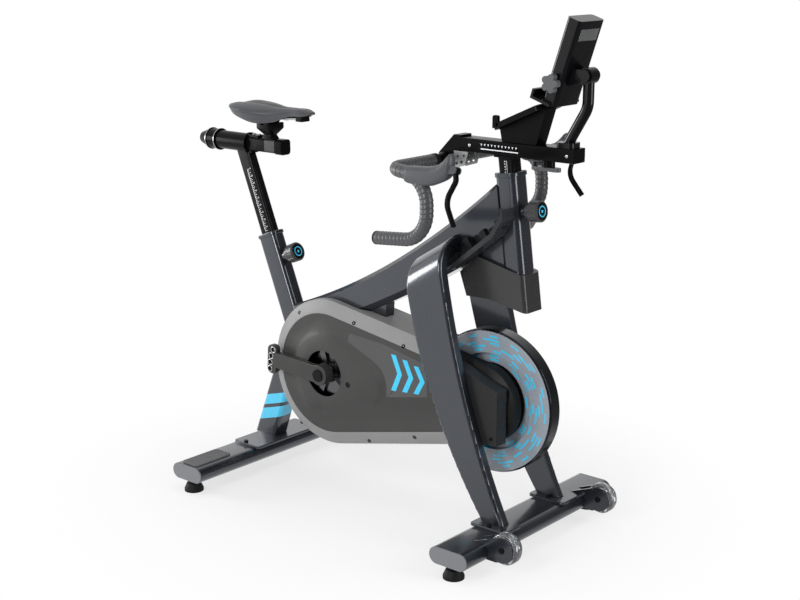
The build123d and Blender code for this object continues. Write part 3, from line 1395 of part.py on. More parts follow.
with BuildPart() as seat_lock_knob:
    knob_front = HOUSING_REAR - COLLAR_LENGTH - SLIDE_CLEARANCE
    with BuildSketch(seat_slide_plane(knob_front)):
        Circle(LOCK_KNOB_RADIUS)
    with BuildSketch(seat_slide_plane(knob_front - LOCK_KNOB_LENGTH)):
        Circle(LOCK_KNOB_TIP_RADIUS)
    loft(ruled=True)
    fillet(seat_lock_knob.faces().sort_by(Axis.X)[0].edges(), LOCK_KNOB_FLUTE)
    with BuildSketch(seat_slide_plane(knob_front - LOCK_KNOB_FLUTE)):
        with PolarLocations(LOCK_KNOB_RADIUS, LOCK_KNOB_FLUTES):
            Circle(LOCK_KNOB_FLUTE)
    extrude(amount=-LOCK_KNOB_LENGTH, mode=Mode.SUBTRACT)
    with BuildSketch(seat_slide_plane(knob_front)):
        Circle(LOCK_SHAFT_RADIUS)
    extrude(amount=COLLAR_LENGTH)
save(seat_lock_knob, "seat_lock_knob")

with BuildPart() as seatpost:
    post_top = (SEAT_SLIDE_Z - SEAT_TUBE_TOP_Z) / sin(radians(SEAT_TUBE_ANGLE))
    add(
        ring_slab(
            SEAT_PLANE.offset(-SEATPOST_INSERT),
            SEATPOST_SIZE,
            grown(SEATPOST_SIZE, -SEATPOST_WALL),
            SEATPOST_CORNER,
            SEATPOST_INSERT + post_top,
        )
    )
    with BuildSketch(seat_slide_plane(HOUSING_REAR)):
        Circle(HOUSING_RADIUS)
    extrude(amount=HOUSING_LENGTH, mode=Mode.SUBTRACT)
    with BuildSketch(seat_slide_plane(HOUSING_FRONT)):
        Circle(GUIDE_RADIUS)
    extrude(amount=GUIDE_LUG_TOP, mode=Mode.SUBTRACT)
    with BuildSketch(Plane.XY.offset(SEAT_SLIDE_Z)):
        with Locations((HOUSING_FRONT, 0)):
            Rectangle(2 * HOUSING_LENGTH, 2 * HOUSING_LENGTH)
    extrude(amount=HOUSING_LENGTH, mode=Mode.SUBTRACT)
save(seatpost, "seatpost")

CLAMP_POINT = (CLAMP_X, SEAT_SLIDE_Z + SEAT_BAR_HEIGHT / 2 + COLUMN_HEIGHT + TILT_RISE)
bar_top = SEAT_SLIDE_Z + SEAT_BAR_HEIGHT / 2
column_top = bar_top + COLUMN_HEIGHT
core_size = grown(SEAT_BAR_SIZE, -SLEEVE_WALL)

with BuildPart() as seat_bar:
    with BuildSketch(seat_slide_plane(GUIDE_FRONT - SEAT_BAR_INSERT)):
        RectangleRounded(*SEAT_BAR_SIZE, SEAT_BAR_CORNER)
    extrude(amount=BAR_JOINT_X - GUIDE_FRONT + SEAT_BAR_INSERT)
    with BuildSketch(seat_slide_plane(BAR_JOINT_X)):
        RectangleRounded(*core_size, SEAT_BAR_CORNER - SLEEVE_WALL)
    extrude(amount=SLEEVE_LENGTH)
    with BuildSketch(seat_slide_plane(SLEEVE_FRONT_X)):
        RectangleRounded(*grown(SEAT_BAR_SIZE, SEAT_BAR_CAP_EXTRA), SEAT_BAR_CORNER + SEAT_BAR_CAP_EXTRA)
    extrude(amount=SEAT_BAR_CAP)
    fillet(seat_bar.faces().sort_by(Axis.X)[-1].edges(), SEAT_BAR_CAP_EXTRA)
    # Waisted column that carries the tilt clamp
    levels = (
        (0, COLUMN_FOOT_LENGTH, COLUMN_FOOT_WIDTH),
        (0.4, COLUMN_NECK_LENGTH, COLUMN_NECK_WIDTH),
        (1, COLUMN_HEAD_LENGTH, COLUMN_HEAD_WIDTH),
    )
    waist = COLUMN_HEIGHT - COLUMN_HEAD_HEIGHT
    for (low, low_x, low_y), (high, high_x, high_y) in zip(levels, levels[1:]):
        with BuildSketch(Plane.XY.offset(bar_top + low * waist)):
            with Locations((CLAMP_X, 0)):
                RectangleRounded(low_x, low_y, SEAT_BAR_CORNER)
        with BuildSketch(Plane.XY.offset(bar_top + high * waist)):
            with Locations((CLAMP_X, 0)):
                RectangleRounded(high_x, high_y, SEAT_BAR_CORNER)
        loft(ruled=True)
    with BuildSketch(Plane.XY.offset(bar_top + waist)):
        with Locations((CLAMP_X, 0)):
            RectangleRounded(COLUMN_HEAD_LENGTH, COLUMN_HEAD_WIDTH, SEAT_BAR_CORNER)
    extrude(amount=COLUMN_HEAD_HEIGHT)
    add(
        cylinder_y(CLAMP_POINT, TILT_RADIUS + SLIDE_CLEARANCE, -COLUMN_HEAD_WIDTH, COLUMN_HEAD_WIDTH),
        mode=Mode.SUBTRACT,
    )
save(seat_bar, "seat_bar")

with BuildPart() as seat_bar_sleeve:
    add(ring_slab(seat_slide_plane(BAR_JOINT_X), SEAT_BAR_SIZE, core_size, SEAT_BAR_CORNER, SLEEVE_LENGTH))
save(seat_bar_sleeve, "seat_bar_sleeve")


# Saddle stations: distance ahead of the tilt axis, half width, crown height, channel depth,
# height of the side's lower edge and height of the middle of the underside
SADDLE_STATIONS = (
    (-113, 38, 980, 6, 965, 971),
    (-90, 58, 984, 7, 956, 971),
    (-50, 68, 984, 8, 944, 969),
    (-5, 60, 981, 7, 934, 967),
    (40, 38, 977, 5, 938, 964),
    (90, 24, 977, 3, 955, 962.5),
    (135, 19, 976, 1.5, 959, 962),
    (152, 11, 971, 0.5, 963, 964.5),
)
SIDE_TUCK = 0.82


def underside(half_width, side_z, middle_z, y):
    """Height of the saddle's arched underside at a distance from its middle."""
    chord = SIDE_TUCK * half_width
    rise = middle_z - side_z
    radius = (chord**2 + rise**2) / (2 * rise)
    return middle_z - radius + sqrt(radius**2 - y**2)


with BuildPart() as saddle_pad:
    for ahead, half, top, channel, side_z, middle_z in SADDLE_STATIONS:
        edge_z = top - SADDLE_SHOULDER * (top - side_z)
        with BuildSketch(Plane.YZ.offset(CLAMP_X + ahead)):
            with BuildLine():
                ThreePointArc((0, top - channel), (half / 2, top), (half, edge_z))
                ThreePointArc(
                    (half, edge_z), (SADDLE_SIDE * half, (edge_z + side_z) / 2), (SIDE_TUCK * half, side_z)
                )
                ThreePointArc((SIDE_TUCK * half, side_z), (0, middle_z), (-SIDE_TUCK * half, side_z))
                ThreePointArc(
                    (-SIDE_TUCK * half, side_z),
                    (-SADDLE_SIDE * half, (edge_z + side_z) / 2),
                    (-half, edge_z),
                )
                ThreePointArc((-half, edge_z), (-half / 2, top), (0, top - channel))
            make_face()
    loft()
    tail_x = CLAMP_X + SADDLE_STATIONS[0][0]
    with BuildSketch(Plane.XY.offset(SEAT_SLIDE_Z)):
        with Locations((tail_x + SADDLE_NOTCH_DEPTH - SADDLE_NOTCH_RADIUS, 0)):
            Circle(SADDLE_NOTCH_RADIUS)
    extrude(amount=2 * SEAT_SLIDE_Z, mode=Mode.SUBTRACT)
save(saddle_pad, "saddle_pad")

RAIL_Z = CLAMP_POINT[1] + CLAMP_HEIGHT / 2

with BuildPart() as saddle_rails:
    nose_x = CLAMP_X + RAIL_NOSE
    tail_x = CLAMP_X - RAIL_TAIL
    with BuildLine() as rail_path:
        FilletPolyline(
            (nose_x, -RAIL_NOSE_SPREAD / 2, RAIL_Z + RAIL_NOSE_RISE),
            (CLAMP_X + CLAMP_LENGTH / 2 + RAIL_BEND, -RAIL_SPREAD / 2, RAIL_Z),
            (CLAMP_X - CLAMP_LENGTH / 2 - RAIL_BEND / 2, -RAIL_SPREAD / 2, RAIL_Z),
            (tail_x, -RAIL_SPREAD / 2, RAIL_Z + RAIL_TAIL_RISE),
            radius=RAIL_BEND,
        )
    with BuildSketch(Plane(origin=rail_path.line @ 0, z_dir=rail_path.line % 0)):
        Circle(RAIL_RADIUS)
    sweep()
    mirror(about=Plane.XZ)
save(saddle_rails, "saddle_rails")

with BuildPart() as saddle_clamp:
    add(cylinder_y(CLAMP_POINT, TILT_RADIUS, -CLAMP_WIDTH / 2, CLAMP_WIDTH / 2))
    with BuildSketch(Plane.XY.offset(CLAMP_POINT[1])):
        with Locations((CLAMP_X, 0)):
            RectangleRounded(CLAMP_LENGTH, CLAMP_WIDTH, SEAT_BAR_CORNER)
    extrude(amount=CLAMP_HEIGHT)
    with BuildSketch(Plane.XY.offset(CLAMP_POINT[1] + CLAMP_HEIGHT)):
        with Locations((CLAMP_X, 0)):
            Rectangle(2 * CLAMP_LENGTH, 2 * CLAMP_WIDTH)
    extrude(amount=TILT_RADIUS, mode=Mode.SUBTRACT)
    add(saddle_rails.part, mode=Mode.SUBTRACT)
save(saddle_clamp, "saddle_clamp")

with BuildPart() as saddle_shell:
    for ahead, half, top, channel, side_z, middle_z in SADDLE_STATIONS[1:-1]:
        reach = SHELL_REACH * SIDE_TUCK * half
        low = underside(half, side_z, middle_z, reach) - SADDLE_GAP
        with BuildSketch(Plane.YZ.offset(CLAMP_X + ahead)):
            with BuildLine():
                ThreePointArc((-reach, low), (0, middle_z - SADDLE_GAP), (reach, low))
                Line((reach, low), (reach, low - SADDLE_SHELL))
                ThreePointArc(
                    (reach, low - SADDLE_SHELL),
                    (0, middle_z - SADDLE_GAP - SADDLE_SHELL),
                    (-reach, low - SADDLE_SHELL),
                )
                Line((-reach, low - SADDLE_SHELL), (-reach, low))
            make_face()
    loft()
    # Sockets that hold the rail ends
    with BuildSketch(Plane.XY.offset(RAIL_Z + RAIL_NOSE_RISE + RAIL_RADIUS + SOCKET_COVER)):
        with Locations((nose_x, 0)):
            RectangleRounded(SOCKET_LENGTH, RAIL_NOSE_SPREAD + SOCKET_WIDTH, RAIL_RADIUS)
    extrude(amount=-SOCKET_HEIGHT)
    with BuildSketch(Plane.XY.offset(RAIL_Z + RAIL_TAIL_RISE + RAIL_RADIUS + SOCKET_COVER)):
        with Locations((tail_x, -RAIL_SPREAD / 2), (tail_x, RAIL_SPREAD / 2)):
            RectangleRounded(SOCKET_LENGTH, SOCKET_WIDTH, RAIL_RADIUS)
    extrude(amount=-SOCKET_HEIGHT)
    add(saddle_rails.part, mode=Mode.SUBTRACT)
save(saddle_shell, "saddle_shell")


# Handlebar post and slider

POST_TOP_Z = SLIDER_LOW - SLIDE_CLEARANCE - POST_CAP_THICKNESS
POST_TOP_X = head_axis(POST_TOP_Z).X
SLIDER_X = CRANK_X + SLIDER_REAR_DX
SLIDER_SIZE = (SLIDER_WIDTH, SLIDER_HEIGHT)
slider_inside = grown(SLIDER_SIZE, -SLIDER_WALL)
carriage_size = grown(slider_inside, -SLIDE_CLEARANCE)


def slider_plane(x):
    """Upright plane across the handlebar slider; its x axis runs across the bike."""
    return Plane(origin=(x, 0, SLIDER_Z), x_dir=(0, 1, 0), z_dir=(1, 0, 0))


with BuildPart() as bar_post:
    post_reach = (POST_TOP_Z - HEAD_TOP_Z) / sin(radians(HEAD_ANGLE))
    add(
        ring_slab(
            HEAD_PLANE.offset(-BAR_POST_INSERT),
            BAR_POST_SIZE,
            grown(BAR_POST_SIZE, -TUBE_WALL),
            BAR_POST_CORNER,
            BAR_POST_INSERT + post_reach + BAR_POST_CORNER,
        )
    )
    with BuildSketch(Plane.XY.offset(POST_TOP_Z)):
        with Locations((POST_TOP_X, 0)):
            Rectangle(4 * BAR_POST_DEPTH, 4 * BAR_POST_WIDTH)
    extrude(amount=BAR_POST_INSERT, mode=Mode.SUBTRACT)
    # Cap plate, neck through the slider's slot and the carriage inside the slider
    with BuildSketch(Plane.XY.offset(POST_TOP_Z)):
        with Locations((POST_TOP_X, 0)):
            RectangleRounded(POST_CAP_LENGTH, SLIDER_WIDTH, BAR_POST_CORNER)
    extrude(amount=POST_CAP_THICKNESS)
    with BuildSketch(Plane.XY.offset(POST_TOP_Z)):
        with Locations((POST_TOP_X, 0)):
            Rectangle(NECK_LENGTH, NECK_WIDTH)
    extrude(amount=SLIDER_Z - POST_TOP_Z)
    with BuildSketch(slider_plane(POST_TOP_X - CARRIAGE_LENGTH / 2)):
        Rectangle(*carriage_size)
    extrude(amount=CARRIAGE_LENGTH)
save(bar_post, "bar_post")

LOCK_X = CRANK_X + LOCK_DX
lock_face_z = SLIDER_LOW - LOCK_BOSS_HEIGHT

with BuildPart() as bar_slider:
    with BuildSketch(slider_plane(SLIDER_X)):
        RectangleRounded(*SLIDER_SIZE, SLIDER_EDGE)
    extrude(amount=SLIDER_LENGTH)
    with BuildSketch(slider_plane(SLIDER_X)):
        Rectangle(*slider_inside)
    extrude(amount=SLIDER_LENGTH - SLIDER_CAP, mode=Mode.SUBTRACT)
    # Slot below for the neck over the whole travel
    slot_rear = POST_TOP_X - NECK_LENGTH / 2 - SLIDE_FORWARD - SLOT_SPARE
    slot_front = POST_TOP_X + NECK_LENGTH / 2 + SLIDE_BACK + SLOT_SPARE
    with BuildSketch(Plane.XY.offset(SLIDER_LOW)):
        with Locations(((slot_rear + slot_front) / 2, 0)):
            Rectangle(slot_front - slot_rear, NECK_WIDTH + 2 * SLIDE_CLEARANCE)
    extrude(amount=SLIDER_WALL, mode=Mode.SUBTRACT)
    # Boss below for the lock lever's pivot
    with BuildSketch(Plane.XY.offset(lock_face_z)):
        with Locations((LOCK_X, 0)):
            Circle(LOCK_BOSS_RADIUS)
            Circle(LOCK_PIN_RADIUS + RUNNING_CLEARANCE, mode=Mode.SUBTRACT)
    extrude(amount=LOCK_BOSS_HEIGHT)
save(bar_slider, "bar_slider")

with BuildPart() as bar_lock_lever:
    blade_top = lock_face_z - SLIDE_CLEARANCE
    blade_length = LOCK_LEVER_REAR + LOCK_LEVER_FRONT
    with BuildSketch(Plane.XY.offset(blade_top)):
        with Locations((LOCK_X + (LOCK_LEVER_FRONT - LOCK_LEVER_REAR) / 2, 0)):
            SlotOverall(blade_length, LOCK_LEVER_WIDTH)
    extrude(amount=-LOCK_LEVER_THICKNESS)
    with BuildSketch(Plane.XY.offset(blade_top)):
        with Locations((LOCK_X - LOCK_LEVER_REAR + LOCK_LEVER_WIDTH / 2, 0)):
            Circle(LOCK_LEVER_WIDTH / 2)
            Circle(LOCK_LEVER_WIDTH / 2 - LOCK_TAB_THICKNESS, mode=Mode.SUBTRACT)
            with Locations((LOCK_LEVER_WIDTH / 2, 0)):
                Rectangle(LOCK_LEVER_WIDTH, LOCK_LEVER_WIDTH, mode=Mode.SUBTRACT)
    extrude(amount=LOCK_TAB_HEIGHT - LOCK_LEVER_THICKNESS)
    with BuildSketch(Plane.XY.offset(blade_top)):
        with Locations((LOCK_X, 0)):
            Circle(LOCK_PIN_RADIUS)
    extrude(amount=LOCK_BOSS_HEIGHT)
save(bar_lock_lever, "bar_lock_lever")


# Stem, drop bar, tape and hoods

BAR_POINT = at((BAR_DX, BAR_Z))

with BuildPart() as bar_stem:
    with BuildSketch(Plane.XZ):
        with Locations(BAR_POINT):
            Circle(STEM_RADIUS)
        stem_low = SLIDER_LOW - STEM_OVERHANG
        stem_high = SLIDER_TOP + STEM_OVERHANG
        with Locations((SLIDER_X - STEM_BLOCK / 2, (stem_low + stem_high) / 2)):
            Rectangle(STEM_BLOCK, stem_high - stem_low)
        make_hull()
    extrude(amount=STEM_WIDTH / 2, both=True)
    with BuildSketch(slider_plane(SLIDER_X)):
        Rectangle(*carriage_size)
    extrude(amount=STEM_SPIGOT)
    add(cylinder_y(BAR_POINT, BAR_CLAMP_RADIUS, -STEM_WIDTH, STEM_WIDTH), mode=Mode.SUBTRACT)
save(bar_stem, "bar_stem")


def drop_path(start_y):
    """Right half of the drop bar's centre line from a distance off the middle."""
    bar_x = BAR_POINT[0]
    drop_x = bar_x + BAR_REACH
    ramp_z = BAR_Z - BAR_RAMP_FALL
    low_z = BAR_Z - BAR_DROP
    return FilletPolyline(
        (bar_x, -start_y, BAR_Z),
        (bar_x, -BAR_HALF_WIDTH, BAR_Z),
        (drop_x, -BAR_HALF_WIDTH, ramp_z),
        (drop_x, -BAR_HALF_WIDTH, low_z),
        (CRANK_X + BAR_END_DX, -BAR_HALF_WIDTH, BAR_END_Z),
        radius=(BAR_CORNER_RADIUS, BAR_HOOK_RADIUS, BAR_HOOK_RADIUS),
    )


def swept_drop(start_y, outer, inner):
    """Round bar or sleeve along the drop bar's right half."""
    with BuildPart() as body:
        with BuildLine() as path:
            drop_path(start_y)
        with BuildSketch(Plane(origin=path.line @ 0, z_dir=path.line % 0)):
            Circle(outer)
            if inner:
                Circle(inner, mode=Mode.SUBTRACT)
        sweep()
    return body.part


with BuildPart() as handlebar:
    add(swept_drop(0, BAR_RADIUS, 0))
    add(cylinder_y(BAR_POINT, BAR_CLAMP_RADIUS, 0, BAR_CLAMP_HALF))
    with BuildSketch(Plane.XZ.offset(BAR_CLAMP_HALF)):
        with Locations(BAR_POINT):
            Circle(BAR_CLAMP_RADIUS)
    with BuildSketch(Plane.XZ.offset(BAR_CLAMP_HALF + BAR_CLAMP_TAPER)):
        with Locations(BAR_POINT):
            Circle(BAR_RADIUS)
    loft(ruled=True)
    mirror(about=Plane.XZ)
save(handlebar, "handlebar")

with BuildPart() as bar_tape:
    add(swept_drop(TAPE_START, TAPE_RADIUS, BAR_RADIUS + TAPE_GAP))
    mirror(about=Plane.XZ)
save(bar_tape, "bar_tape")

ear_inner = LEVER_WIDTH / 2 + SLIDE_CLEARANCE


def lever_plane(side):
    """Plane of one lever, centred on its pivot and flared outward below it."""
    flare = radians(LEVER_FLARE)
    return Plane(
        origin=(CRANK_X + LEVER_PIVOT_DX, side * BAR_HALF_WIDTH, LEVER_PIVOT_Z),
        x_dir=(1, 0, 0),
        z_dir=(0, -cos(flare), -side * sin(flare)),
    )


with BuildPart() as lever_hoods:
    for offset_x, width, height, z in (
        (HOOD_REAR_DX, HOOD_WIDTH, HOOD_REAR_HEIGHT, HOOD_REAR_Z),
        (HOOD_MIDDLE_DX, HOOD_WIDTH + 2, HOOD_MIDDLE_HEIGHT, HOOD_MIDDLE_Z),
        (HOOD_NECK_DX, HOOD_WIDTH, HOOD_NECK_HEIGHT, HOOD_NECK_Z),
        (HOOD_FRONT_DX, HOOD_HORN_WIDTH, HOOD_HORN_HEIGHT, HOOD_HORN_Z),
    ):
        with BuildSketch(Plane.YZ.offset(CRANK_X + offset_x)):
            with Locations((-BAR_HALF_WIDTH, z)):
                RectangleRounded(width, height, HOOD_CORNER)
    loft()
    fillet(lever_hoods.faces().sort_by(Axis.X)[-1].edges(), HOOD_NOSE_FILLET)
    # Ears either side of the lever's pivot
    pivot_plane = lever_plane(-1)
    for side in (-1, 1):
        with BuildSketch(pivot_plane.offset(side * ear_inner)):
            Circle(EAR_RADIUS)
            with Locations((HOOD_FRONT_DX - EAR_RADIUS - LEVER_PIVOT_DX, 0)):
                Rectangle(EAR_RADIUS, 2 * EAR_RADIUS)
            make_hull()
        extrude(amount=side * EAR_THICKNESS)
    with BuildSketch(pivot_plane):
        Circle(LEVER_BOSS + 2 * SLIDE_CLEARANCE)
    extrude(amount=ear_inner, both=True, mode=Mode.SUBTRACT)
    with BuildSketch(pivot_plane):
        Circle(LEVER_PIN)
    extrude(amount=ear_inner, both=True)
    add(swept_drop(TAPE_START, TAPE_RADIUS + TAPE_GAP, 0), mode=Mode.SUBTRACT)
    mirror(about=Plane.XZ)
save(lever_hoods, "lever_hoods")


def brake_lever(side):
    """Curved lever blade on one side, hung from its pivot in front of the hood."""
    plane = lever_plane(side)
    with BuildPart() as lever:
        with BuildLine(plane) as path:
            FilletPolyline(
                (0, 0),
                LEVER_KNEE,
                LEVER_WAIST,
                LEVER_TIP,
                radius=(LEVER_KNEE_RADIUS, LEVER_WAIST_RADIUS),
            )
        with BuildSketch(Plane(origin=path.line @ 0, x_dir=plane.z_dir, z_dir=path.line % 0)):
            RectangleRounded(LEVER_WIDTH, LEVER_THICKNESS, LEVER_THICKNESS / 3)
        sweep()
        with BuildSketch(plane):
            Circle(LEVER_BOSS)
        extrude(amount=LEVER_WIDTH / 2, both=True)
        with BuildSketch(plane):
            Circle(LEVER_PIN + RUNNING_CLEARANCE)
        extrude(amount=LEVER_WIDTH, both=True, mode=Mode.SUBTRACT)
    return lever


save(brake_lever(-1), "brake_lever_right")
save(brake_lever(1), "brake_lever_left")


# Accessory shelf, console arm and tablet holder

with BuildPart() as accessory_shelf:
    run = SHELF_FRONT[0] - SHELF_REAR[0]
    rise = SHELF_FRONT[1] - SHELF_REAR[1]
    shelf_length = hypot(run, rise)
    shelf_plane = Plane(
        origin=(CRANK_X + SHELF_REAR[0] + run / 2, 0, SHELF_REAR[1] + rise / 2),
        x_dir=(run, 0, rise),
        z_dir=(-rise, 0, run),
    )
    # Wedge-shaped web between the slider and the shelf
    with BuildSketch(Plane.XZ):
        Polygon(
            at(SHELF_REAR),
            at((SHELF_WEB_REAR_DX, SLIDER_TOP)),
            at((SHELF_WEB_FRONT_DX, SLIDER_TOP)),
            at(SHELF_FRONT),
            align=None,
        )
    extrude(amount=SHELF_WEB_WIDTH / 2, both=True)
    with BuildSketch(shelf_plane):
        RectangleRounded(shelf_length, SHELF_WIDTH, SHELF_CORNER)
    extrude(amount=SHELF_THICKNESS)
    with BuildSketch(shelf_plane.offset(SHELF_THICKNESS)):
        RectangleRounded(shelf_length, SHELF_WIDTH, SHELF_CORNER)
        RectangleRounded(
            shelf_length - 2 * SHELF_LIP_WIDTH,
            SHELF_WIDTH - 2 * SHELF_LIP_WIDTH,
            SHELF_CORNER - SHELF_LIP_WIDTH,
            mode=Mode.SUBTRACT,
        )
    extrude(amount=SHELF_LIP)
save(accessory_shelf, "accessory_shelf")

HINGE_POINT = at((ARM_BEND[0], ARM_TOP_Z + HINGE_RISE))

with BuildPart() as console_arm:
    shoe_top = SLIDER_TOP + ARM_SHOE_HEIGHT
    with BuildLine(Plane.XZ) as arm_path:
        FilletPolyline(
            at((ARM_FOOT_DX, shoe_top - ARM_SINK)),
            at(ARM_BEND),
            at((ARM_BEND[0], ARM_TOP_Z)),
            radius=ARM_BEND_RADIUS,
        )
    with BuildSketch(Plane(origin=arm_path.line @ 0, z_dir=arm_path.line % 0)):
        Circle(ARM_RADIUS)
    sweep()
    with BuildSketch(Plane.XY.offset(SLIDER_TOP)):
        with Locations((CRANK_X + ARM_FOOT_DX, 0)):
            RectangleRounded(ARM_SHOE_LENGTH, ARM_SHOE_WIDTH, PLATE_CORNER)
    extrude(amount=ARM_SHOE_HEIGHT)
    with BuildSketch(Plane.XY.offset(SLIDER_TOP)):
        with Locations((CRANK_X + ARM_FOOT_DX, 0)):
            Rectangle(4 * ARM_SHOE_LENGTH, 4 * ARM_SHOE_WIDTH)
    extrude(amount=-ARM_SHOE_LENGTH, mode=Mode.SUBTRACT)
    # Eye across the top for the tablet holder's hinge pin
    add(cylinder_y(HINGE_POINT, BOSS_RADIUS, -BOSS_WIDTH / 2, BOSS_WIDTH / 2))
    add(cylinder_y(HINGE_POINT, HINGE_PIN_RADIUS, -BOSS_WIDTH, BOSS_WIDTH), mode=Mode.SUBTRACT)
save(console_arm, "console_arm")

lean = radians(HOLDER_LEAN)
holder_plane = Plane(
    origin=(CRANK_X + HOLDER_FOOT_DX, 0, HOLDER_FOOT_Z),
    x_dir=(cos(lean), 0, -sin(lean)),
    z_dir=(sin(lean), 0, cos(lean)),
)
star_centre = holder_plane.from_local_coords((0, 0, STAR_UP))
STAR_POINT = (star_centre.X, star_centre.Z)

with BuildPart() as tablet_holder:
    with BuildSketch(holder_plane):
        RectangleRounded(HOLDER_DEPTH, HOLDER_WIDTH, HOLDER_CORNER)
    extrude(amount=HOLDER_LENGTH)
    # Shallow recess on the rider's side
    with BuildSketch(holder_plane.offset(HOLDER_CORNER)):
        with Locations((-HOLDER_DEPTH / 2, 0)):
            Rectangle(2 * HOLDER_RECESS, HOLDER_WIDTH - 2 * HOLDER_CORNER)
    extrude(amount=HOLDER_LENGTH - 2 * HOLDER_CORNER, mode=Mode.SUBTRACT)
    # Ledge along the foot with an upturned lip
    ledge_rear = -HOLDER_DEPTH / 2 - HOLDER_TRAY_OUT
    with BuildSketch(holder_plane):
        with Locations(((ledge_rear + HOLDER_TRAY_LAP) / 2, 0)):
            Rectangle(HOLDER_TRAY_LAP - ledge_rear, HOLDER_TRAY_WIDTH)
    extrude(amount=HOLDER_TRAY_THICKNESS)
    with BuildSketch(holder_plane):
        with Locations((ledge_rear + HOLDER_TRAY_THICKNESS / 2, 0)):
            Rectangle(HOLDER_TRAY_THICKNESS, HOLDER_TRAY_WIDTH)
    extrude(amount=HOLDER_TRAY_LIP)
    # Hinge cheeks either side of the arm's eye, and the pin between them
    for side in (-1, 1):
        with BuildSketch(Plane.XZ.offset(side * (BOSS_WIDTH / 2 + BOSS_GAP))):
            with Locations(HINGE_POINT):
                Circle(CHEEK_RADIUS)
            back = holder_plane.from_local_coords((0, 0, CHEEK_UP))
            with Locations((back.X, back.Z)):
                Rectangle(HOLDER_DEPTH / 2, 2 * BOSS_RADIUS, rotation=-HOLDER_LEAN)
            make_hull()
        extrude(amount=side * CHEEK_THICKNESS)
    pin_reach = BOSS_WIDTH / 2 + BOSS_GAP
    add(cylinder_y(HINGE_POINT, HINGE_PIN_RADIUS - RUNNING_CLEARANCE, -pin_reach, pin_reach))
    with BuildSketch(Plane.XZ.offset(HOLDER_WIDTH / 2)):
        with Locations(STAR_POINT):
            Circle(STAR_STEM_RADIUS + RUNNING_CLEARANCE)
    extrude(amount=-STAR_SHAFT_LENGTH - STAR_STEM_LENGTH, mode=Mode.SUBTRACT)
save(tablet_holder, "tablet_holder")

with BuildPart() as tablet_knob:
    star_inner = HOLDER_WIDTH / 2 + STAR_STEM_LENGTH
    with BuildSketch(Plane.XZ.offset(star_inner)):
        with Locations(STAR_POINT):
            Circle(STAR_RADIUS - STAR_LOBE_RADIUS)
            with PolarLocations(STAR_RADIUS - STAR_LOBE_RADIUS, STAR_LOBES):
                Circle(STAR_LOBE_RADIUS)
    extrude(amount=STAR_THICKNESS)
    add(cylinder_y(STAR_POINT, STAR_STEM_RADIUS, HOLDER_WIDTH / 2 - STAR_SHAFT_LENGTH, star_inner))
save(tablet_knob, "tablet_knob")
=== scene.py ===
"""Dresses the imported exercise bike: finishes, soft pieces, printed scales, light and camera."""
import json
import logging
import math
from dataclasses import dataclass, field, replace
from enum import Enum
from typing import ClassVar

import bmesh
import bpy
import numpy as np
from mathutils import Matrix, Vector

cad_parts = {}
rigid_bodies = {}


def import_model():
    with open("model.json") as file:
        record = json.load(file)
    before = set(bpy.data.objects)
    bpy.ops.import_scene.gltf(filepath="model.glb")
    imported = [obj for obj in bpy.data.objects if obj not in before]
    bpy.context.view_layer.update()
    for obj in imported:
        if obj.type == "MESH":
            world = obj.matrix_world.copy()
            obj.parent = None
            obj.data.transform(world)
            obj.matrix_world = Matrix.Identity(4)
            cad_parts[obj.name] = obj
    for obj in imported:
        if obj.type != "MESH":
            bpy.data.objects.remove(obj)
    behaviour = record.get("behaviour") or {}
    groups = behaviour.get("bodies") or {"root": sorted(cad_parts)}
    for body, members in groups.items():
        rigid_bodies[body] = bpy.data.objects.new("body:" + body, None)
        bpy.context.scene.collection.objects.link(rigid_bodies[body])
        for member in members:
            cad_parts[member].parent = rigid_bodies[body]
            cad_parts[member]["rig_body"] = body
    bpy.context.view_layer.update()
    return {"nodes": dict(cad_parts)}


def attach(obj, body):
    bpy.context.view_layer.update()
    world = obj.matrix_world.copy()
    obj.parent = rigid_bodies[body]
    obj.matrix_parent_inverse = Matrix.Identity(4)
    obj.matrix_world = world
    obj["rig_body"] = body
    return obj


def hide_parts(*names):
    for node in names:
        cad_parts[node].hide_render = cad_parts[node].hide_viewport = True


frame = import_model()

LOG = logging.getLogger("exercise_bike")
# Lengths are in millimetres and angles in degrees, unless a name or a docstring says otherwise
MM = 0.001
CRANK_X = -118.03
FORWARD = (1, 0, 0)
LEFTWARD = (0, 1, 0)
UPWARD = (0, 0, 1)
WHITE = (1.0, 1.0, 1.0, 1.0)
PRINT_DEPTH = 0.25
PIECE_WELD = 0.002
SOLID_WELD = 0.001
FLAT_ANGLE = 0.6
SKIN_SMOOTH = 32
BEVEL_FROM = 38
BEVEL_STEPS = 2
DIGIT_HALF_DEPTH = 0.1
Colour = tuple[float, float, float]
Array = np.ndarray
Shape = tuple[Array, list]


class Side(Enum):
    """Side of the bike as the rider sees it, with its sign along Y."""

    RIGHT = -1
    LEFT = 1


class Pattern(Enum):
    """Print, relief and painted shade that a finish carries over its plain colour."""

    PLAIN = "plain"
    BANDS = "bands"
    DISC = "disc"
    NOSE = "nose"
    TREAD = "tread"
    PIN_HOLES = "pin_holes"


# Shader helpers


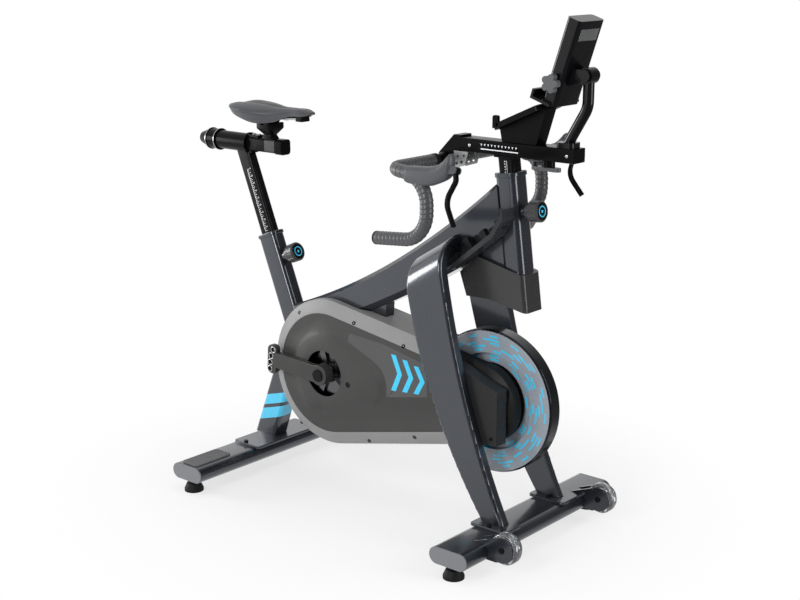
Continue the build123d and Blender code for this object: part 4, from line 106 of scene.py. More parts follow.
class NodeTree:
    """Short-hand for adding and joining nodes in one tree."""

    def __init__(self, tree: bpy.types.NodeTree) -> None:
        """Keep the tree that the nodes go into."""
        self.tree = tree

    def add(self, kind: str, **settings: object) -> bpy.types.Node:
        """Add a node.

        Args:
            kind: Node type name.
            settings: Attributes to set on the node.

        Returns:
            The new node.
        """
        node = self.tree.nodes.new(kind)
        for key, value in settings.items():
            setattr(node, key, value)
        return node

    def join(self, source: bpy.types.NodeSocket, target: bpy.types.NodeSocket) -> None:
        """Link one socket to another."""
        self.tree.links.new(source, target)

    def feed(self, socket: bpy.types.NodeSocket, value: object) -> None:
        """Set a socket from a number or a colour, or link another socket to it."""
        if isinstance(value, (int, float)):
            socket.default_value = value
        elif isinstance(value, tuple):
            socket.default_value = (*value, 1.0)
        else:
            self.join(value, socket)

    @staticmethod
    def fill(node: bpy.types.Node, values: dict[str, object]) -> None:
        """Set a node's own numbers and colours by the names of its inputs."""
        for socket, value in values.items():
            node.inputs[socket].default_value = value

    def math(self, operation: str, first: object, second: object = None) -> bpy.types.NodeSocket:
        """Add a Math node fed by sockets or numbers.

        Args:
            operation: Math operation name.
            first: First value or socket.
            second: Second value or socket, if the operation takes one.

        Returns:
            The result socket.
        """
        node = self.add("ShaderNodeMath", operation=operation)
        for socket, value in zip(node.inputs, (first, second)):
            if value is not None:
                self.feed(socket, value)
        return node.outputs[0]

    def mix(self, factor: object, first: object, second: object) -> bpy.types.NodeSocket:
        """Mix two colours.

        Args:
            factor: Mixing factor, a number or a socket.
            first: Colour or socket at factor 0.
            second: Colour or socket at factor 1.

        Returns:
            The mixed colour socket.
        """
        node = self.add("ShaderNodeMix", data_type="RGBA")
        # Inputs 0, 6 and 7 are the factor and the two colours
        for index, value in zip((0, 6, 7), (factor, first, second)):
            self.feed(node.inputs[index], value)
        return node.outputs[2]

    def band(self, value: bpy.types.NodeSocket, low: float, high: float) -> bpy.types.NodeSocket:
        """Mask that is one where a value lies between two limits."""
        above = self.math("GREATER_THAN", value, low)
        below = self.math("LESS_THAN", value, high)
        return self.math("MULTIPLY", above, below)

    def ramp(self, value: bpy.types.NodeSocket, span: tuple, limits: tuple) -> bpy.types.NodeSocket:
        """Smooth step of a value over a span.

        Args:
            value: Value that runs over the span.
            span: Where the step starts and ends.
            limits: Results at the two ends of the span.

        Returns:
            The result socket.
        """
        node = self.add("ShaderNodeMapRange", interpolation_type="SMOOTHSTEP")
        self.fill(node, dict(zip(("From Min", "From Max", "To Min", "To Max"), (*span, *limits))))
        self.join(value, node.inputs["Value"])
        return node.outputs[0]


def shader_group(name: str, inputs: dict[str, str], outputs: tuple[str, ...]) -> bpy.types.NodeTree:
    """Empty shader node group with its sockets.

    Args:
        name: Name of the group.
        inputs: Socket type of each named input.
        outputs: Names of the values that it puts out.

    Returns:
        The group.
    """
    group = bpy.data.node_groups.new(name, "ShaderNodeTree")
    for socket, kind in inputs.items():
        group.interface.new_socket(socket, in_out="INPUT", socket_type=kind)
    for socket in outputs:
        group.interface.new_socket(socket, in_out="OUTPUT", socket_type="NodeSocketFloat")
    return group


def grain_group() -> bpy.types.NodeTree:
    """Node group for moulded or painted grain: a fine height, a soft tone and a speckle.

    Returns:
        The group, made on the first call.
    """
    name = "surface_grain"
    if name in bpy.data.node_groups:
        return bpy.data.node_groups[name]
    group = shader_group(name, {"Vector": "NodeSocketVector", "Scale": "NodeSocketFloat"},
                         ("Height", "Tone", "Speckle"))
    net = NodeTree(group)
    source = net.add("NodeGroupInput")
    target = net.add("NodeGroupOutput")
    fine = net.add("ShaderNodeTexNoise")
    net.fill(fine, {"Detail": 3.0})
    broad = net.add("ShaderNodeTexNoise")
    net.fill(broad, {"Scale": 7.0, "Detail": 4.0})
    dots = net.add("ShaderNodeTexVoronoi", feature="F1")
    for node in (fine, dots):
        net.join(source.outputs["Vector"], node.inputs["Vector"])
        net.join(source.outputs["Scale"], node.inputs["Scale"])
    net.join(source.outputs["Vector"], broad.inputs["Vector"])
    net.join(fine.outputs[0], target.inputs["Height"])
    net.join(broad.outputs[0], target.inputs["Tone"])
    net.join(dots.outputs["Color"], target.inputs["Speckle"])
    return group


def wear_group() -> bpy.types.NodeTree:
    """Node group for handling marks: smudges that come and go over the surface.

    Returns:
        The group, made on the first call.
    """
    name = "handling_marks"
    if name in bpy.data.node_groups:
        return bpy.data.node_groups[name]
    group = shader_group(name, {"Vector": "NodeSocketVector", "Amount": "NodeSocketFloat"}, ("Mask",))
    net = NodeTree(group)
    source = net.add("NodeGroupInput")
    target = net.add("NodeGroupOutput")
    smudge = net.add("ShaderNodeTexNoise")
    net.fill(smudge, {"Scale": 16.0, "Detail": 6.0, "Distortion": 0.7})
    net.join(source.outputs["Vector"], smudge.inputs["Vector"])
    level, gain = 0.48, 3.0
    spread = net.math("MULTIPLY", net.math("SUBTRACT", smudge.outputs[0], level), gain)
    spread = net.math("MAXIMUM", spread, 0.0)
    net.join(net.math("MULTIPLY", spread, source.outputs["Amount"]), target.inputs["Mask"])
    return group


@dataclass(frozen=True)
class Layers:
    """Sockets that a finish stacks up on their way to the shader."""

    colour: bpy.types.NodeSocket
    height: bpy.types.NodeSocket
    metal: bpy.types.NodeSocket | None = None


@dataclass(frozen=True)
class FlywheelPrint:
    """Printed rings on the flywheel's faces, by radius from its axle in metres."""

    axle_x: float = (CRANK_X + 490.0) * MM
    axle_z: float = 0.334
    hub: float = 0.0930
    edge: float = 0.1708
    # Inner and outer radius, waves round the axle, their phase, and the height of wave that shows
    rows: tuple = ((0.0975, 0.1025, 9.0, 0.3, 0.35), (0.1060, 0.1110, 12.0, 1.9, 0.15),
                   (0.1145, 0.1195, 8.0, 2.8, 0.30), (0.1230, 0.1280, 14.0, 0.7, 0.25),
                   (0.1315, 0.1365, 10.0, 2.2, 0.10), (0.1400, 0.1450, 13.0, 1.1, 0.30),
                   (0.1485, 0.1535, 9.0, 0.1, 0.20), (0.1570, 0.1620, 16.0, 2.5, 0.35))
    dark: Colour = (0.012, 0.012, 0.013)
    rim: Colour = (0.045, 0.048, 0.054)

    def rings(self, net: NodeTree, along: bpy.types.NodeSocket, up: bpy.types.NodeSocket,
              base: bpy.types.NodeSocket, ink: Colour) -> tuple[bpy.types.NodeSocket, bpy.types.NodeSocket]:
        """Rings and dashes: radius picks the row, a wave of the angle round the axle cuts its dashes.

        Args:
            net: The material's tree.
            along: Distance forward.
            up: Height.
            base: Colour of the face.
            ink: Colour of the dashes.

        Returns:
            The printed colour, and the mask of bare metal at the rim.
        """
        x = net.math("SUBTRACT", along, self.axle_x)
        z = net.math("SUBTRACT", up, self.axle_z)
        radius = net.math("SQRT", net.math("ADD", net.math("MULTIPLY", x, x), net.math("MULTIPLY", z, z)))
        angle = net.math("ARCTAN2", z, x)
        colour = base
        for low, high, count, phase, gap in self.rows:
            turn = net.math("SINE", net.math("ADD", net.math("MULTIPLY", angle, count), phase))
            dash = net.math("MULTIPLY", net.band(radius, low, high), net.math("GREATER_THAN", turn, gap))
            colour = net.mix(dash, colour, ink)
        colour = net.mix(net.math("LESS_THAN", radius, self.hub), colour, self.dark)
        rim = net.math("GREATER_THAN", radius, self.edge)
        return net.mix(rim, colour, self.rim), rim


@dataclass(frozen=True)
class PatternSizes:
    """Sizes of the printed and moulded patterns and of the painted shade, in metres and in radians per metre.
    """

    band_slope: float = 0.281
    bands: tuple = ((0.2722, 0.2998), (0.2322, 0.2622))
    # Forward of this distance the cover is painted black as shade
    nose_from: float = (CRANK_X + 398.0) * MM
    painted_nose_shade: Colour = (0.010, 0.010, 0.0105)
    tread_wave: float = 700.0
    tread_relief: float = 4.0
    pin_wave: float = 1200.0
    pin_from: float = 0.55
    pin_reach: float = 0.013
    pin_mix: float = 0.7
    # Share of the pad's colour left in the holes, painted darker as shade
    painted_pin_shade: float = 0.35
    pin_relief: float = 3.0


PATTERN_SIZES = PatternSizes()


@dataclass(frozen=True)
class Finish:
    """One finish: colour, gloss and the grain that shows close up."""

    name: str
    slot: str
    colour: Colour
    roughness: float = 0.4
    metallic: float = 0.0
    coat: float = 0.0
    grain: float = 900.0
    relief: float = 0.05
    variation: float = 0.12
    sparkle: float = 0.0
    marks: float = 0.12
    transmission: float = 0.0
    sheen: float = 0.0
    specular: float = 0.5
    edge: float = 0.0
    pattern: Pattern = Pattern.PLAIN
    ink: Colour = (0.055, 0.50, 0.76)
    FLAKE_FROM: ClassVar[float] = 0.72
    FLAKE_MIX: ClassVar[float] = 0.5
    FLAKE_LIFT: ClassVar[float] = 0.01
    TONE_ROUGHNESS: ClassVar[float] = 0.10
    COAT_ROUGHNESS: ClassVar[float] = 0.12
    BUMP_DISTANCE: ClassVar[float] = 0.0006
    EDGE_SAMPLES: ClassVar[int] = 8

    def material(self) -> bpy.types.Material:
        """Material for this finish, built on the first call.

        Returns:
            The material.
        """
        name = f"{self.name}_finish"
        if name in bpy.data.materials:
            return bpy.data.materials[name]
        material = bpy.data.materials.new(name)
        material.use_nodes = True
        material.diffuse_color = (*self.colour, 1.0)
        net = NodeTree(material.node_tree)
        shader = material.node_tree.nodes["Principled BSDF"]
        place = net.add("ShaderNodeTexCoord").outputs["Object"]
        grain = net.add("ShaderNodeGroup", node_tree=grain_group())
        net.fill(grain, {"Scale": self.grain})
        net.join(place, grain.inputs["Vector"])
        marks = net.add("ShaderNodeGroup", node_tree=wear_group())
        net.fill(marks, {"Amount": self.marks})
        net.join(place, marks.inputs["Vector"])
        dark = tuple(c * (1.0 - self.variation) for c in self.colour)
        light = tuple(min(1.0, c * (1.0 + self.variation)) for c in self.colour)
        colour = net.mix(grain.outputs["Tone"], dark, light)
        if self.sparkle:
            flake = net.math("GREATER_THAN", grain.outputs["Speckle"], self.FLAKE_FROM)
            lift = self.FLAKE_LIFT * self.sparkle
            bright = tuple(min(1.0, c * (1.0 + self.sparkle) + lift) for c in self.colour)
            colour = net.mix(net.math("MULTIPLY", flake, self.FLAKE_MIX), colour, bright)
        layers = self.printed(net, place, Layers(colour, grain.outputs["Height"]))
        net.join(layers.colour, shader.inputs["Base Color"])
        rough = net.math("MULTIPLY", grain.outputs["Tone"], self.TONE_ROUGHNESS)
        rough = net.math("ADD", rough, self.roughness - self.TONE_ROUGHNESS / 2)
        net.join(net.math("ADD", rough, marks.outputs["Mask"]), shader.inputs["Roughness"])
        net.fill(shader, {
            "Metallic": self.metallic,
            "Specular IOR Level": self.specular,
            "Coat Weight": self.coat,
            "Coat Roughness": self.COAT_ROUGHNESS,
            "Transmission Weight": self.transmission,
            "Sheen Weight": self.sheen,
        })
        if layers.metal is not None:
            net.join(layers.metal, shader.inputs["Metallic"])
        bump = net.add("ShaderNodeBump")
        net.fill(bump, {"Strength": self.relief, "Distance": self.BUMP_DISTANCE})
        net.join(layers.height, bump.inputs["Height"])
        if self.edge:
            rounded = net.add("ShaderNodeBevel", samples=self.EDGE_SAMPLES)
            net.fill(rounded, {"Radius": self.edge * MM})
            net.join(rounded.outputs["Normal"], bump.inputs["Normal"])
        net.join(bump.outputs["Normal"], shader.inputs["Normal"])
        return material

    def printed(self, net: NodeTree, place: bpy.types.NodeSocket, layers: Layers) -> Layers:
        """Lay this finish's pattern over the plain colour and height.

        Args:
            net: The material's tree.
            place: Object coordinates.
            layers: Plain colour and grain height.

        Returns:
            The layers with the pattern.
        """
        if self.pattern is Pattern.PLAIN:
            return layers
        colour, height, metal = layers.colour, layers.height, None
        sizes = PATTERN_SIZES
        axes = net.add("ShaderNodeSeparateXYZ")
        net.join(place, axes.inputs[0])
        along, across, up = axes.outputs
        if self.pattern is Pattern.BANDS:
            # Two slanted bands: height less a share of the distance forward picks the stripe
            slant = net.math("SUBTRACT", up, net.math("MULTIPLY", along, sizes.band_slope))
            bands = net.math("MAXIMUM", *(net.band(slant, *limits) for limits in sizes.bands))
            colour = net.mix(bands, colour, self.ink)
            metal = net.math("MULTIPLY", net.math("SUBTRACT", 1.0, bands), self.metallic)
        elif self.pattern is Pattern.DISC:
            colour, metal = FlywheelPrint().rings(net, along, up, colour, self.ink)
        elif self.pattern is Pattern.NOSE:
            # The cover's front end is painted black as shade: a mask of the distance forward
            nose = net.math("GREATER_THAN", along, sizes.nose_from)
            colour = net.mix(nose, colour, sizes.painted_nose_shade)
        elif self.pattern is Pattern.TREAD:
            # Grip tread: rows of ridges across the pad
            wave = net.math("SINE", net.math("MULTIPLY", across, sizes.tread_wave))
            height = net.math("ADD", height, net.math("MULTIPLY", wave, sizes.tread_relief))
        elif self.pattern is Pattern.PIN_HOLES:
            # Rows of pin holes: the product of two waves leaves a dot at each crossing; each dot is sunk and
            # painted darker as shade in the hole
            first = net.math("SINE", net.math("MULTIPLY", along, sizes.pin_wave))
            second = net.math("SINE", net.math("MULTIPLY", across, sizes.pin_wave))
            dots = net.math("GREATER_THAN", net.math("MULTIPLY", first, second), sizes.pin_from)
            middle = net.math("LESS_THAN", net.math("ABSOLUTE", across), sizes.pin_reach)
            dots = net.math("MULTIPLY", dots, middle)
            shade = tuple(sizes.painted_pin_shade * c for c in self.colour)
            colour = net.mix(net.math("MULTIPLY", dots, sizes.pin_mix), colour, shade)
            height = net.math("SUBTRACT", height, net.math("MULTIPLY", dots, sizes.pin_relief))
        return Layers(colour, height, metal)


FRAME_PAINT = Finish("frame_paint", "frame_paint", (0.038, 0.043, 0.053), roughness=0.28, metallic=0.7,
                     coat=1.0, grain=2400.0, relief=0.003, variation=0.06, sparkle=0.25, marks=0.02,
                     specular=0.2)
BANDED_PAINT = replace(FRAME_PAINT, name="banded_paint", pattern=Pattern.BANDS)
LEG_PAINT = replace(FRAME_PAINT, name="leg_paint", edge=5.0)
BLACK_METAL = Finish("black_metal", "black_metal", (0.005, 0.005, 0.006), roughness=0.22, specular=0.12,
                     relief=0.03)
BLACK_ALLOY = Finish("black_alloy", "black_alloy", (0.0035, 0.0035, 0.004), roughness=0.20, specular=0.08,
                     relief=0.03)
CRANK_GREY = Finish("crank_grey", "black_alloy", (0.044, 0.043, 0.042), roughness=0.34, specular=0.2,
                    relief=0.04)
SPIDER_DARK = Finish("spider_dark", "black_alloy", (0.11, 0.11, 0.115), roughness=0.16, metallic=1.0,
                     relief=0.02)
STEEL = Finish("satin_steel", "steel", (0.52, 0.53, 0.55), roughness=0.28, metallic=1.0, relief=0.03)
POLISHED = Finish("polished_sleeve", "polished", (0.46, 0.46, 0.48), roughness=0.15, metallic=1.0,
                  relief=0.01, variation=0.04)
SLEEVE_DARK = Finish("sleeve_dark", "polished", (0.030, 0.030, 0.031), roughness=0.34, relief=0.02,
                     specular=0.25)
FLYWHEEL_PAINT = Finish("flywheel_paint", "flywheel_iron", (0.25, 0.28, 0.32), roughness=0.22, coat=0.6,
                        relief=0.03, specular=0.3, pattern=Pattern.DISC)
COVER_GREY = Finish("cover_grey", "cover_grey", (0.235, 0.235, 0.236), roughness=0.40, relief=0.08,
                    specular=0.15, pattern=Pattern.NOSE)
PANEL_DARK = Finish("panel_dark", "panel_dark", (0.055, 0.054, 0.053), roughness=0.40, relief=0.10,
                    specular=0.14)
CHIN_DARK = Finish("chin_dark", "panel_dark", (0.026, 0.026, 0.026), roughness=0.26, relief=0.02, marks=0.03,
                   specular=0.5)
SUPPORT_BLACK = Finish("support_black", "panel_dark", (0.016, 0.016, 0.017), roughness=0.28, relief=0.06,
                       specular=0.2)
BLACK_PLASTIC = Finish("black_plastic", "black_plastic", (0.0035, 0.0035, 0.004), roughness=0.26, relief=0.06,
                       specular=0.08)
KNOB_GREY = Finish("knob_grey", "black_plastic", (0.045, 0.045, 0.048), roughness=0.30, relief=0.04,
                   specular=0.4)
KNOB_PALE = Finish("knob_pale", "black_plastic", (0.085, 0.087, 0.092), roughness=0.32, relief=0.04,
                   specular=0.4)
TRAY_DARK = Finish("tray_dark", "black_plastic", (0.022, 0.023, 0.026), roughness=0.26, relief=0.05,
                   specular=0.3)
CAP_GREY = Finish("cap_grey", "cap_grey", (0.175, 0.180, 0.190), roughness=0.45, relief=0.10, specular=0.25)
BLACK_RUBBER = Finish("black_rubber", "black_rubber", (0.008, 0.008, 0.008), roughness=0.55, relief=0.14,
                      specular=0.15)
TREAD_RUBBER = Finish("tread_rubber", "black_rubber", (0.13, 0.13, 0.135), roughness=0.5, relief=0.3,
                      specular=0.15, pattern=Pattern.TREAD)
GRIP_GREY = Finish("grip_grey", "grip_grey", (0.056, 0.057, 0.061), roughness=0.34, relief=0.16,
                   variation=0.3, specular=0.5)
HOOD_GREY = Finish("hood_grey", "grip_grey", (0.062, 0.065, 0.072), roughness=0.36, relief=0.12, specular=0.4)
SADDLE_GREY = Finish("saddle_grey", "saddle_grey", (0.066, 0.068, 0.074), roughness=0.38, relief=0.16,
                     sheen=0.03, grain=1500.0, specular=0.3, pattern=Pattern.PIN_HOLES)
SEAM_DARK = Finish("seam_dark", "saddle_grey", (0.052, 0.054, 0.059), roughness=0.5, relief=0.2, specular=0.2)
WHEEL_CLEAR = Finish("wheel_clear", "wheel_clear", (0.92, 0.93, 0.95), roughness=0.07, transmission=0.93,
                     variation=0.03, relief=0.03)
GLOSS_BLACK = Finish("gloss_black", "black_plastic", (0.004, 0.004, 0.005), roughness=0.16, relief=0.005,
                     marks=0.02, specular=0.3)
PRINT_BLUE = Finish("print_blue", "panel_dark", (0.055, 0.50, 0.76), roughness=0.35, relief=0.02,
                    specular=0.2)
PRINT_GREY = Finish("print_grey", "cover_grey", (0.076, 0.076, 0.077), roughness=0.34, relief=0.03,
                    specular=0.2)
PRINT_WHITE = Finish("print_white", "cover_grey", (0.72, 0.73, 0.74), roughness=0.4, relief=0.02)
BRUSHED = Finish("brushed_plate", "steel", (0.36, 0.365, 0.37), roughness=0.32, metallic=0.9, relief=0.05)


# Mesh helpers


def point(dx: float, y: float, z: float) -> Array:
    """Point in metres from millimetres forward of the crank, across and up."""
    return np.array((CRANK_X + dx, y, z)) * MM


def unit(vectors: Array) -> Array:
    """Vectors scaled to length one along the last axis."""
    return vectors / np.linalg.norm(vectors, axis=-1, keepdims=True)


def aside(direction: Array) -> Array:
    """Axis of the frame that is well away from a direction."""
    return np.array(UPWARD if abs(direction[2]) < 0.9 else FORWARD, dtype=float)


def smoothed(mesh: bpy.types.Mesh, angle: float) -> None:
    """Shade a mesh smooth, apart from edges sharper than an angle in degrees."""
    mesh.polygons.foreach_set("use_smooth", np.ones(len(mesh.polygons), dtype=bool))
    mesh.set_sharp_from_angle(angle=math.radians(angle))


def new_piece(name: str, vertices: Array, faces: list, finish: Finish, body: str,
              uv: Array | None = None, smooth: float = 40.0) -> bpy.types.Object:
    """Make a piece from vertices and faces, close its seams and let it ride on a body.

    Args:
        name: Piece name.
        vertices: Points, one row each.
        faces: Vertex indices of every face.
        finish: Finish of the piece.
        body: Body that it rides on.
        uv: Surface coordinates of each vertex, or None.
        smooth: Angle in degrees up to which edges are shaded smooth.

    Returns:
        The new object.
    """
    mesh = bpy.data.meshes.new(name)
    mesh.from_pydata(vertices.tolist(), [], faces)
    if uv is not None:
        layer = mesh.uv_layers.new(name="UVMap")
        corners = np.empty(len(mesh.loops), dtype=np.int32)
        mesh.loops.foreach_get("vertex_index", corners)
        layer.data.foreach_set("uv", uv[corners].astype(np.float32).ravel())
    work = bmesh.new()
    work.from_mesh(mesh)
    bmesh.ops.remove_doubles(work, verts=work.verts, dist=PIECE_WELD * MM)
    bmesh.ops.recalc_face_normals(work, faces=work.faces)
    work.to_mesh(mesh)
    work.free()
    smoothed(mesh, smooth)
    piece = bpy.data.objects.new(name, mesh)
    bpy.context.scene.collection.objects.link(piece)
    mesh.materials.append(finish.material())
    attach(piece, body)
    LOG.info("piece %s on %s", name, body)
    return piece


def grid_faces(rows: int, columns: int) -> list:
    """Quads of a grid of points stored row by row.

    Args:
        rows: Number of rows.
        columns: Number of columns.

    Returns:
        Four indices for each quad.
    """
    index = np.arange(rows * columns).reshape(rows, columns)
    quads = np.stack((index[:-1, :-1], index[:-1, 1:], index[1:, 1:], index[1:, :-1]), axis=-1)
    return quads.reshape(-1, 4).tolist()


def surface(name: str, grid: Array, finish: Finish, body: str, caps: bool = False,
            smooth: float = 40.0) -> bpy.types.Object:
    """Piece from a grid of points, its seam welded and its ends closed if asked.

    Args:
        name: Piece name.
        grid: Points as rows by columns by 3.
        finish: Finish of the piece.
        body: Body that it rides on.
        caps: Whether the first and last rows are closed with a face.
        smooth: Angle in degrees up to which edges are shaded smooth.

    Returns:
        The new object.
    """
    rows, columns = grid.shape[:2]
    faces = grid_faces(rows, columns)
    if caps:
        faces.append(list(range(columns - 1)))
        last = (rows - 1) * columns
        faces.append(list(range(last + columns - 2, last - 1, -1)))
    v, u = np.meshgrid(np.linspace(0, 1, rows), np.linspace(0, 1, columns), indexing="ij")
    uv = np.stack((u, v), axis=-1).reshape(-1, 2)
    return new_piece(name, grid.reshape(-1, 3), faces, finish, body, uv, smooth)


def lathe(profile: Array, origin: Array, axis: Array, segments: int = 48) -> Array:
    """Surface of revolution: each profile row (distance along the axis, radius) is turned round it.

    Args:
        profile: Rows of (distance along the axis, radius), in millimetres.
        origin: Point on the axis, in metres.
        axis: Direction of the axis.
        segments: Number of steps round the axis.

    Returns:
        Grid of points in metres, its last column on its first.
    """
    axis = unit(np.asarray(axis, dtype=float))
    first = unit(np.cross(axis, aside(axis)))
    second = np.cross(axis, first)
    turn = np.linspace(0, 2 * np.pi, segments + 1)
    ring = np.cos(turn)[:, None] * first + np.sin(turn)[:, None] * second
    profile = np.asarray(profile, dtype=float) * MM
    return origin + profile[:, 0, None, None] * axis + profile[:, 1, None, None] * ring


def lathe_part(profile: Array, origin: Array, axis: Array, segments: int = 32) -> Shape:
    """Vertices and faces of a surface of revolution, to be joined with others."""
    grid = lathe(profile, origin, axis, segments)
    return grid.reshape(-1, 3), grid_faces(*grid.shape[:2])


def rounded_path(corners: Array, radii: tuple, step: float) -> Array:
    """Line through corners with each inner corner replaced by an arc of its radius.

    Args:
        corners: Corner points.
        radii: Radius at each inner corner.
        step: Distance between points along the arcs and runs.

    Returns:
        Points along the line, about one step apart.
    """
    pieces = [corners[:1]]
    for before, corner, after, radius in zip(corners[:-2], corners[1:-1], corners[2:], radii):
        back, ahead = unit(before - corner), unit(after - corner)
        half = math.acos(float(np.clip(back @ ahead, -1, 1))) / 2
        start = corner + back * (radius / math.tan(half))
        centre = corner + unit(back + ahead) * (radius / math.sin(half))
        spoke = unit(start - centre)
        side = -back
        open_angle = math.pi - 2 * half
        sweep = np.linspace(0, open_angle, max(4, int(radius * open_angle / step)))[:, None]
        pieces.append(centre + radius * (np.cos(sweep) * spoke + np.sin(sweep) * side))
    pieces.append(corners[-1:])
    rough = np.concatenate(pieces)
    gaps = np.linalg.norm(np.diff(rough, axis=0), axis=1)
    length = np.concatenate(([0.0], np.cumsum(gaps)))
    even = np.linspace(0, length[-1], int(length[-1] / step) + 1)
    return np.stack([np.interp(even, length, rough[:, axis]) for axis in range(3)], axis=-1)


def carried_frames(path: Array) -> tuple[Array, Array]:
    """Two side vectors at each point of a path, carried along it without twist.

    Args:
        path: Points along the path.

    Returns:
        Two arrays of unit vectors square to the path.
    """
    tangents = unit(np.gradient(path, axis=0))
    sides = [unit(np.cross(tangents[0], aside(tangents[0])))]
    for tangent in tangents[1:]:
        side = sides[-1] - (sides[-1] @ tangent) * tangent
        sides.append(unit(side))
    first = np.array(sides)
    return first, np.cross(tangents, first)


def tube(path: Array, radius: Array, turn: Array) -> Array:
    """Tube: a ring of the given radius carried along the path.

    Args:
        path: Points along the path.
        radius: Radius at each point and angle, or one number.
        turn: Angles of the ring.

    Returns:
        Grid of points along the path and round it.
    """
    first, second = carried_frames(path)
    ring = np.cos(turn)[None, :, None] * first[:, None] + np.sin(turn)[None, :, None] * second[:, None]
    return path[:, None] + np.broadcast_to(radius, ring.shape[:2])[..., None] * ring


def plate(outline: Array, origin: Array, x_axis: Array, y_axis: Array, depth: float) -> Shape:
    """Flat plate: an outline set in a plane and pushed along its normal.

    Args:
        outline: Corner points in the plane, in millimetres.
        origin: Place of the plane, in metres.
        x_axis: Direction of the outline's first number.
        y_axis: Direction of its second number.
        depth: Thickness in millimetres along the cross product of the two axes.

    Returns:
        Vertices and faces.
    """
    outline = np.asarray(outline, dtype=float) * MM
    x_axis, y_axis = unit(np.asarray(x_axis, float)), unit(np.asarray(y_axis, float))
    base = origin + outline[:, :1] * x_axis + outline[:, 1:] * y_axis
    top = base + np.cross(x_axis, y_axis) * (depth * MM)
    count = len(outline)
    here = np.arange(count)
    after = np.roll(here, -1)
    walls = np.stack((here, after, after + count, here + count), axis=-1).tolist()
    return np.concatenate((base, top)), [here[::-1].tolist(), (here + count).tolist(), *walls]


def joined_piece(name: str, parts: list[Shape], finish: Finish, body: str) -> bpy.types.Object:
    """Make one piece from several vertex and face lists.

    Args:
        name: Piece name.
        parts: Pairs of vertices and faces.
        finish: Finish of the piece.
        body: Body that it rides on.

    Returns:
        The new object.
    """
    vertices, faces, offset = [], [], 0
    for points, polygons in parts:
        vertices.append(points)
        faces.extend([[index + offset for index in polygon] for polygon in polygons])
        offset += len(points)
    return new_piece(name, np.concatenate(vertices), faces, finish, body)


def bevelled(piece: bpy.types.Object, width: float) -> bpy.types.Object:
    """Round a piece's sharp edges with a small bevel.

    Args:
        piece: The piece.
        width: Bevel width in millimetres.

    Returns:
        The same piece.
    """
    modifier = piece.modifiers.new("edge_round", "BEVEL")
    modifier.width = width * MM
    modifier.segments = BEVEL_STEPS
    modifier.limit_method = "ANGLE"
    modifier.angle_limit = math.radians(BEVEL_FROM)
    modifier.harden_normals = True
    return piece


def skin(node: str, finish: Finish, bevel: float) -> bpy.types.Object:
    """Stand a merged, softly bevelled copy of a solid in its place.

    Args:
        node: Node that the copy stands for.
        finish: Finish of the copy.
        bevel: Edge rounding in millimetres; at 0 the solid keeps its own edges and normals.

    Returns:
        The copy.
    """
    source = frame["nodes"][node]
    mesh = source.data.copy()
    mesh.name = f"{node}_skin"
    if bevel:
        work = bmesh.new()
        work.from_mesh(mesh)
        bmesh.ops.remove_doubles(work, verts=work.verts, dist=SOLID_WELD * MM)
        bmesh.ops.dissolve_limit(work, angle_limit=math.radians(FLAT_ANGLE), verts=work.verts,
                                 edges=work.edges)
        work.to_mesh(mesh)
        work.free()
        if "custom_normal" in mesh.attributes:
            mesh.attributes.remove(mesh.attributes["custom_normal"])
        smoothed(mesh, SKIN_SMOOTH)
    mesh.materials.clear()
    mesh.materials.append(finish.material())
    piece = bpy.data.objects.new(f"{node}_skin", mesh)
    bpy.context.scene.collection.objects.link(piece)
    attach(piece, source["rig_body"])
    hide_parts(node)
    if bevel:
        bevelled(piece, bevel)
    LOG.info("skin of %s", node)
    return piece


def flat_sheet(outlines: list[Array], depth: float) -> Shape:
    """Flat sheet with holes: outlines filled by the even-odd rule and pushed to a thickness.

    Args:
        outlines: Outer line first, then the holes, as rows of two numbers in metres.
        depth: Thickness, centred on the plane.

    Returns:
        Vertices and faces in the plane of the outlines.
    """
    curve = bpy.data.curves.new("sheet", "CURVE")
    curve.dimensions = "2D"
    curve.fill_mode = "BOTH"
    curve.extrude = depth / 2
    for outline in outlines:
        spline = curve.splines.new("POLY")
        spline.points.add(len(outline) - 1)
        rows = np.concatenate((outline, np.zeros((len(outline), 1)), np.ones((len(outline), 1))), axis=1)
        spline.points.foreach_set("co", rows.astype(np.float32).ravel())
        spline.use_cyclic_u = True
    return as_arrays(curve)


def as_arrays(curve: bpy.types.Curve) -> Shape:
    """Turn a flat curve or a text into vertices and faces, and drop the curve.

    Args:
        curve: The curve.

    Returns:
        Vertices and faces.
    """
    holder = bpy.data.objects.new("flat_form", curve)
    mesh = bpy.data.meshes.new_from_object(holder)
    vertices = np.empty(len(mesh.vertices) * 3, dtype=np.float32)
    mesh.vertices.foreach_get("co", vertices)
    faces = [list(polygon.vertices) for polygon in mesh.polygons]
    bpy.data.objects.remove(holder)
    bpy.data.meshes.remove(mesh)
    bpy.data.curves.remove(curve)
    return vertices.reshape(-1, 3).astype(float), faces


def number_mesh(text: str, size: float) -> Shape:
    """Printed number, flat and centred on the origin, as vertices and faces."""
    curve = bpy.data.curves.new("number", "FONT")
    curve.body = text
    curve.size = size
    curve.extrude = DIGIT_HALF_DEPTH * MM
    curve.align_x = "CENTER"
    curve.align_y = "CENTER"
    return as_arrays(curve)


def laid(shape: Shape, origin: Array, x_axis: Array, y_axis: Array) -> Shape:
    """Lay a flat shape into a plane given by its origin and two directions.

    Args:
        shape: Vertices and faces.
        origin: Place of the shape's origin.
        x_axis: Direction of its first number.
        y_axis: Direction of its second number.

    Returns:
        Vertices and faces in place.
    """
    x_axis, y_axis = unit(np.asarray(x_axis, float)), unit(np.asarray(y_axis, float))
    axes = np.stack((x_axis, y_axis, np.cross(x_axis, y_axis)))
    return shape[0] @ axes + origin, shape[1]


def disc_outline(radius: float, count: int) -> Array:
    """Outline of a circle as rows of two numbers, from a number of steps round it."""
    turn = np.linspace(0, 2 * np.pi, count, endpoint=False)
    return radius * np.stack((np.cos(turn), np.sin(turn)), axis=-1)


# Sub-assemblies


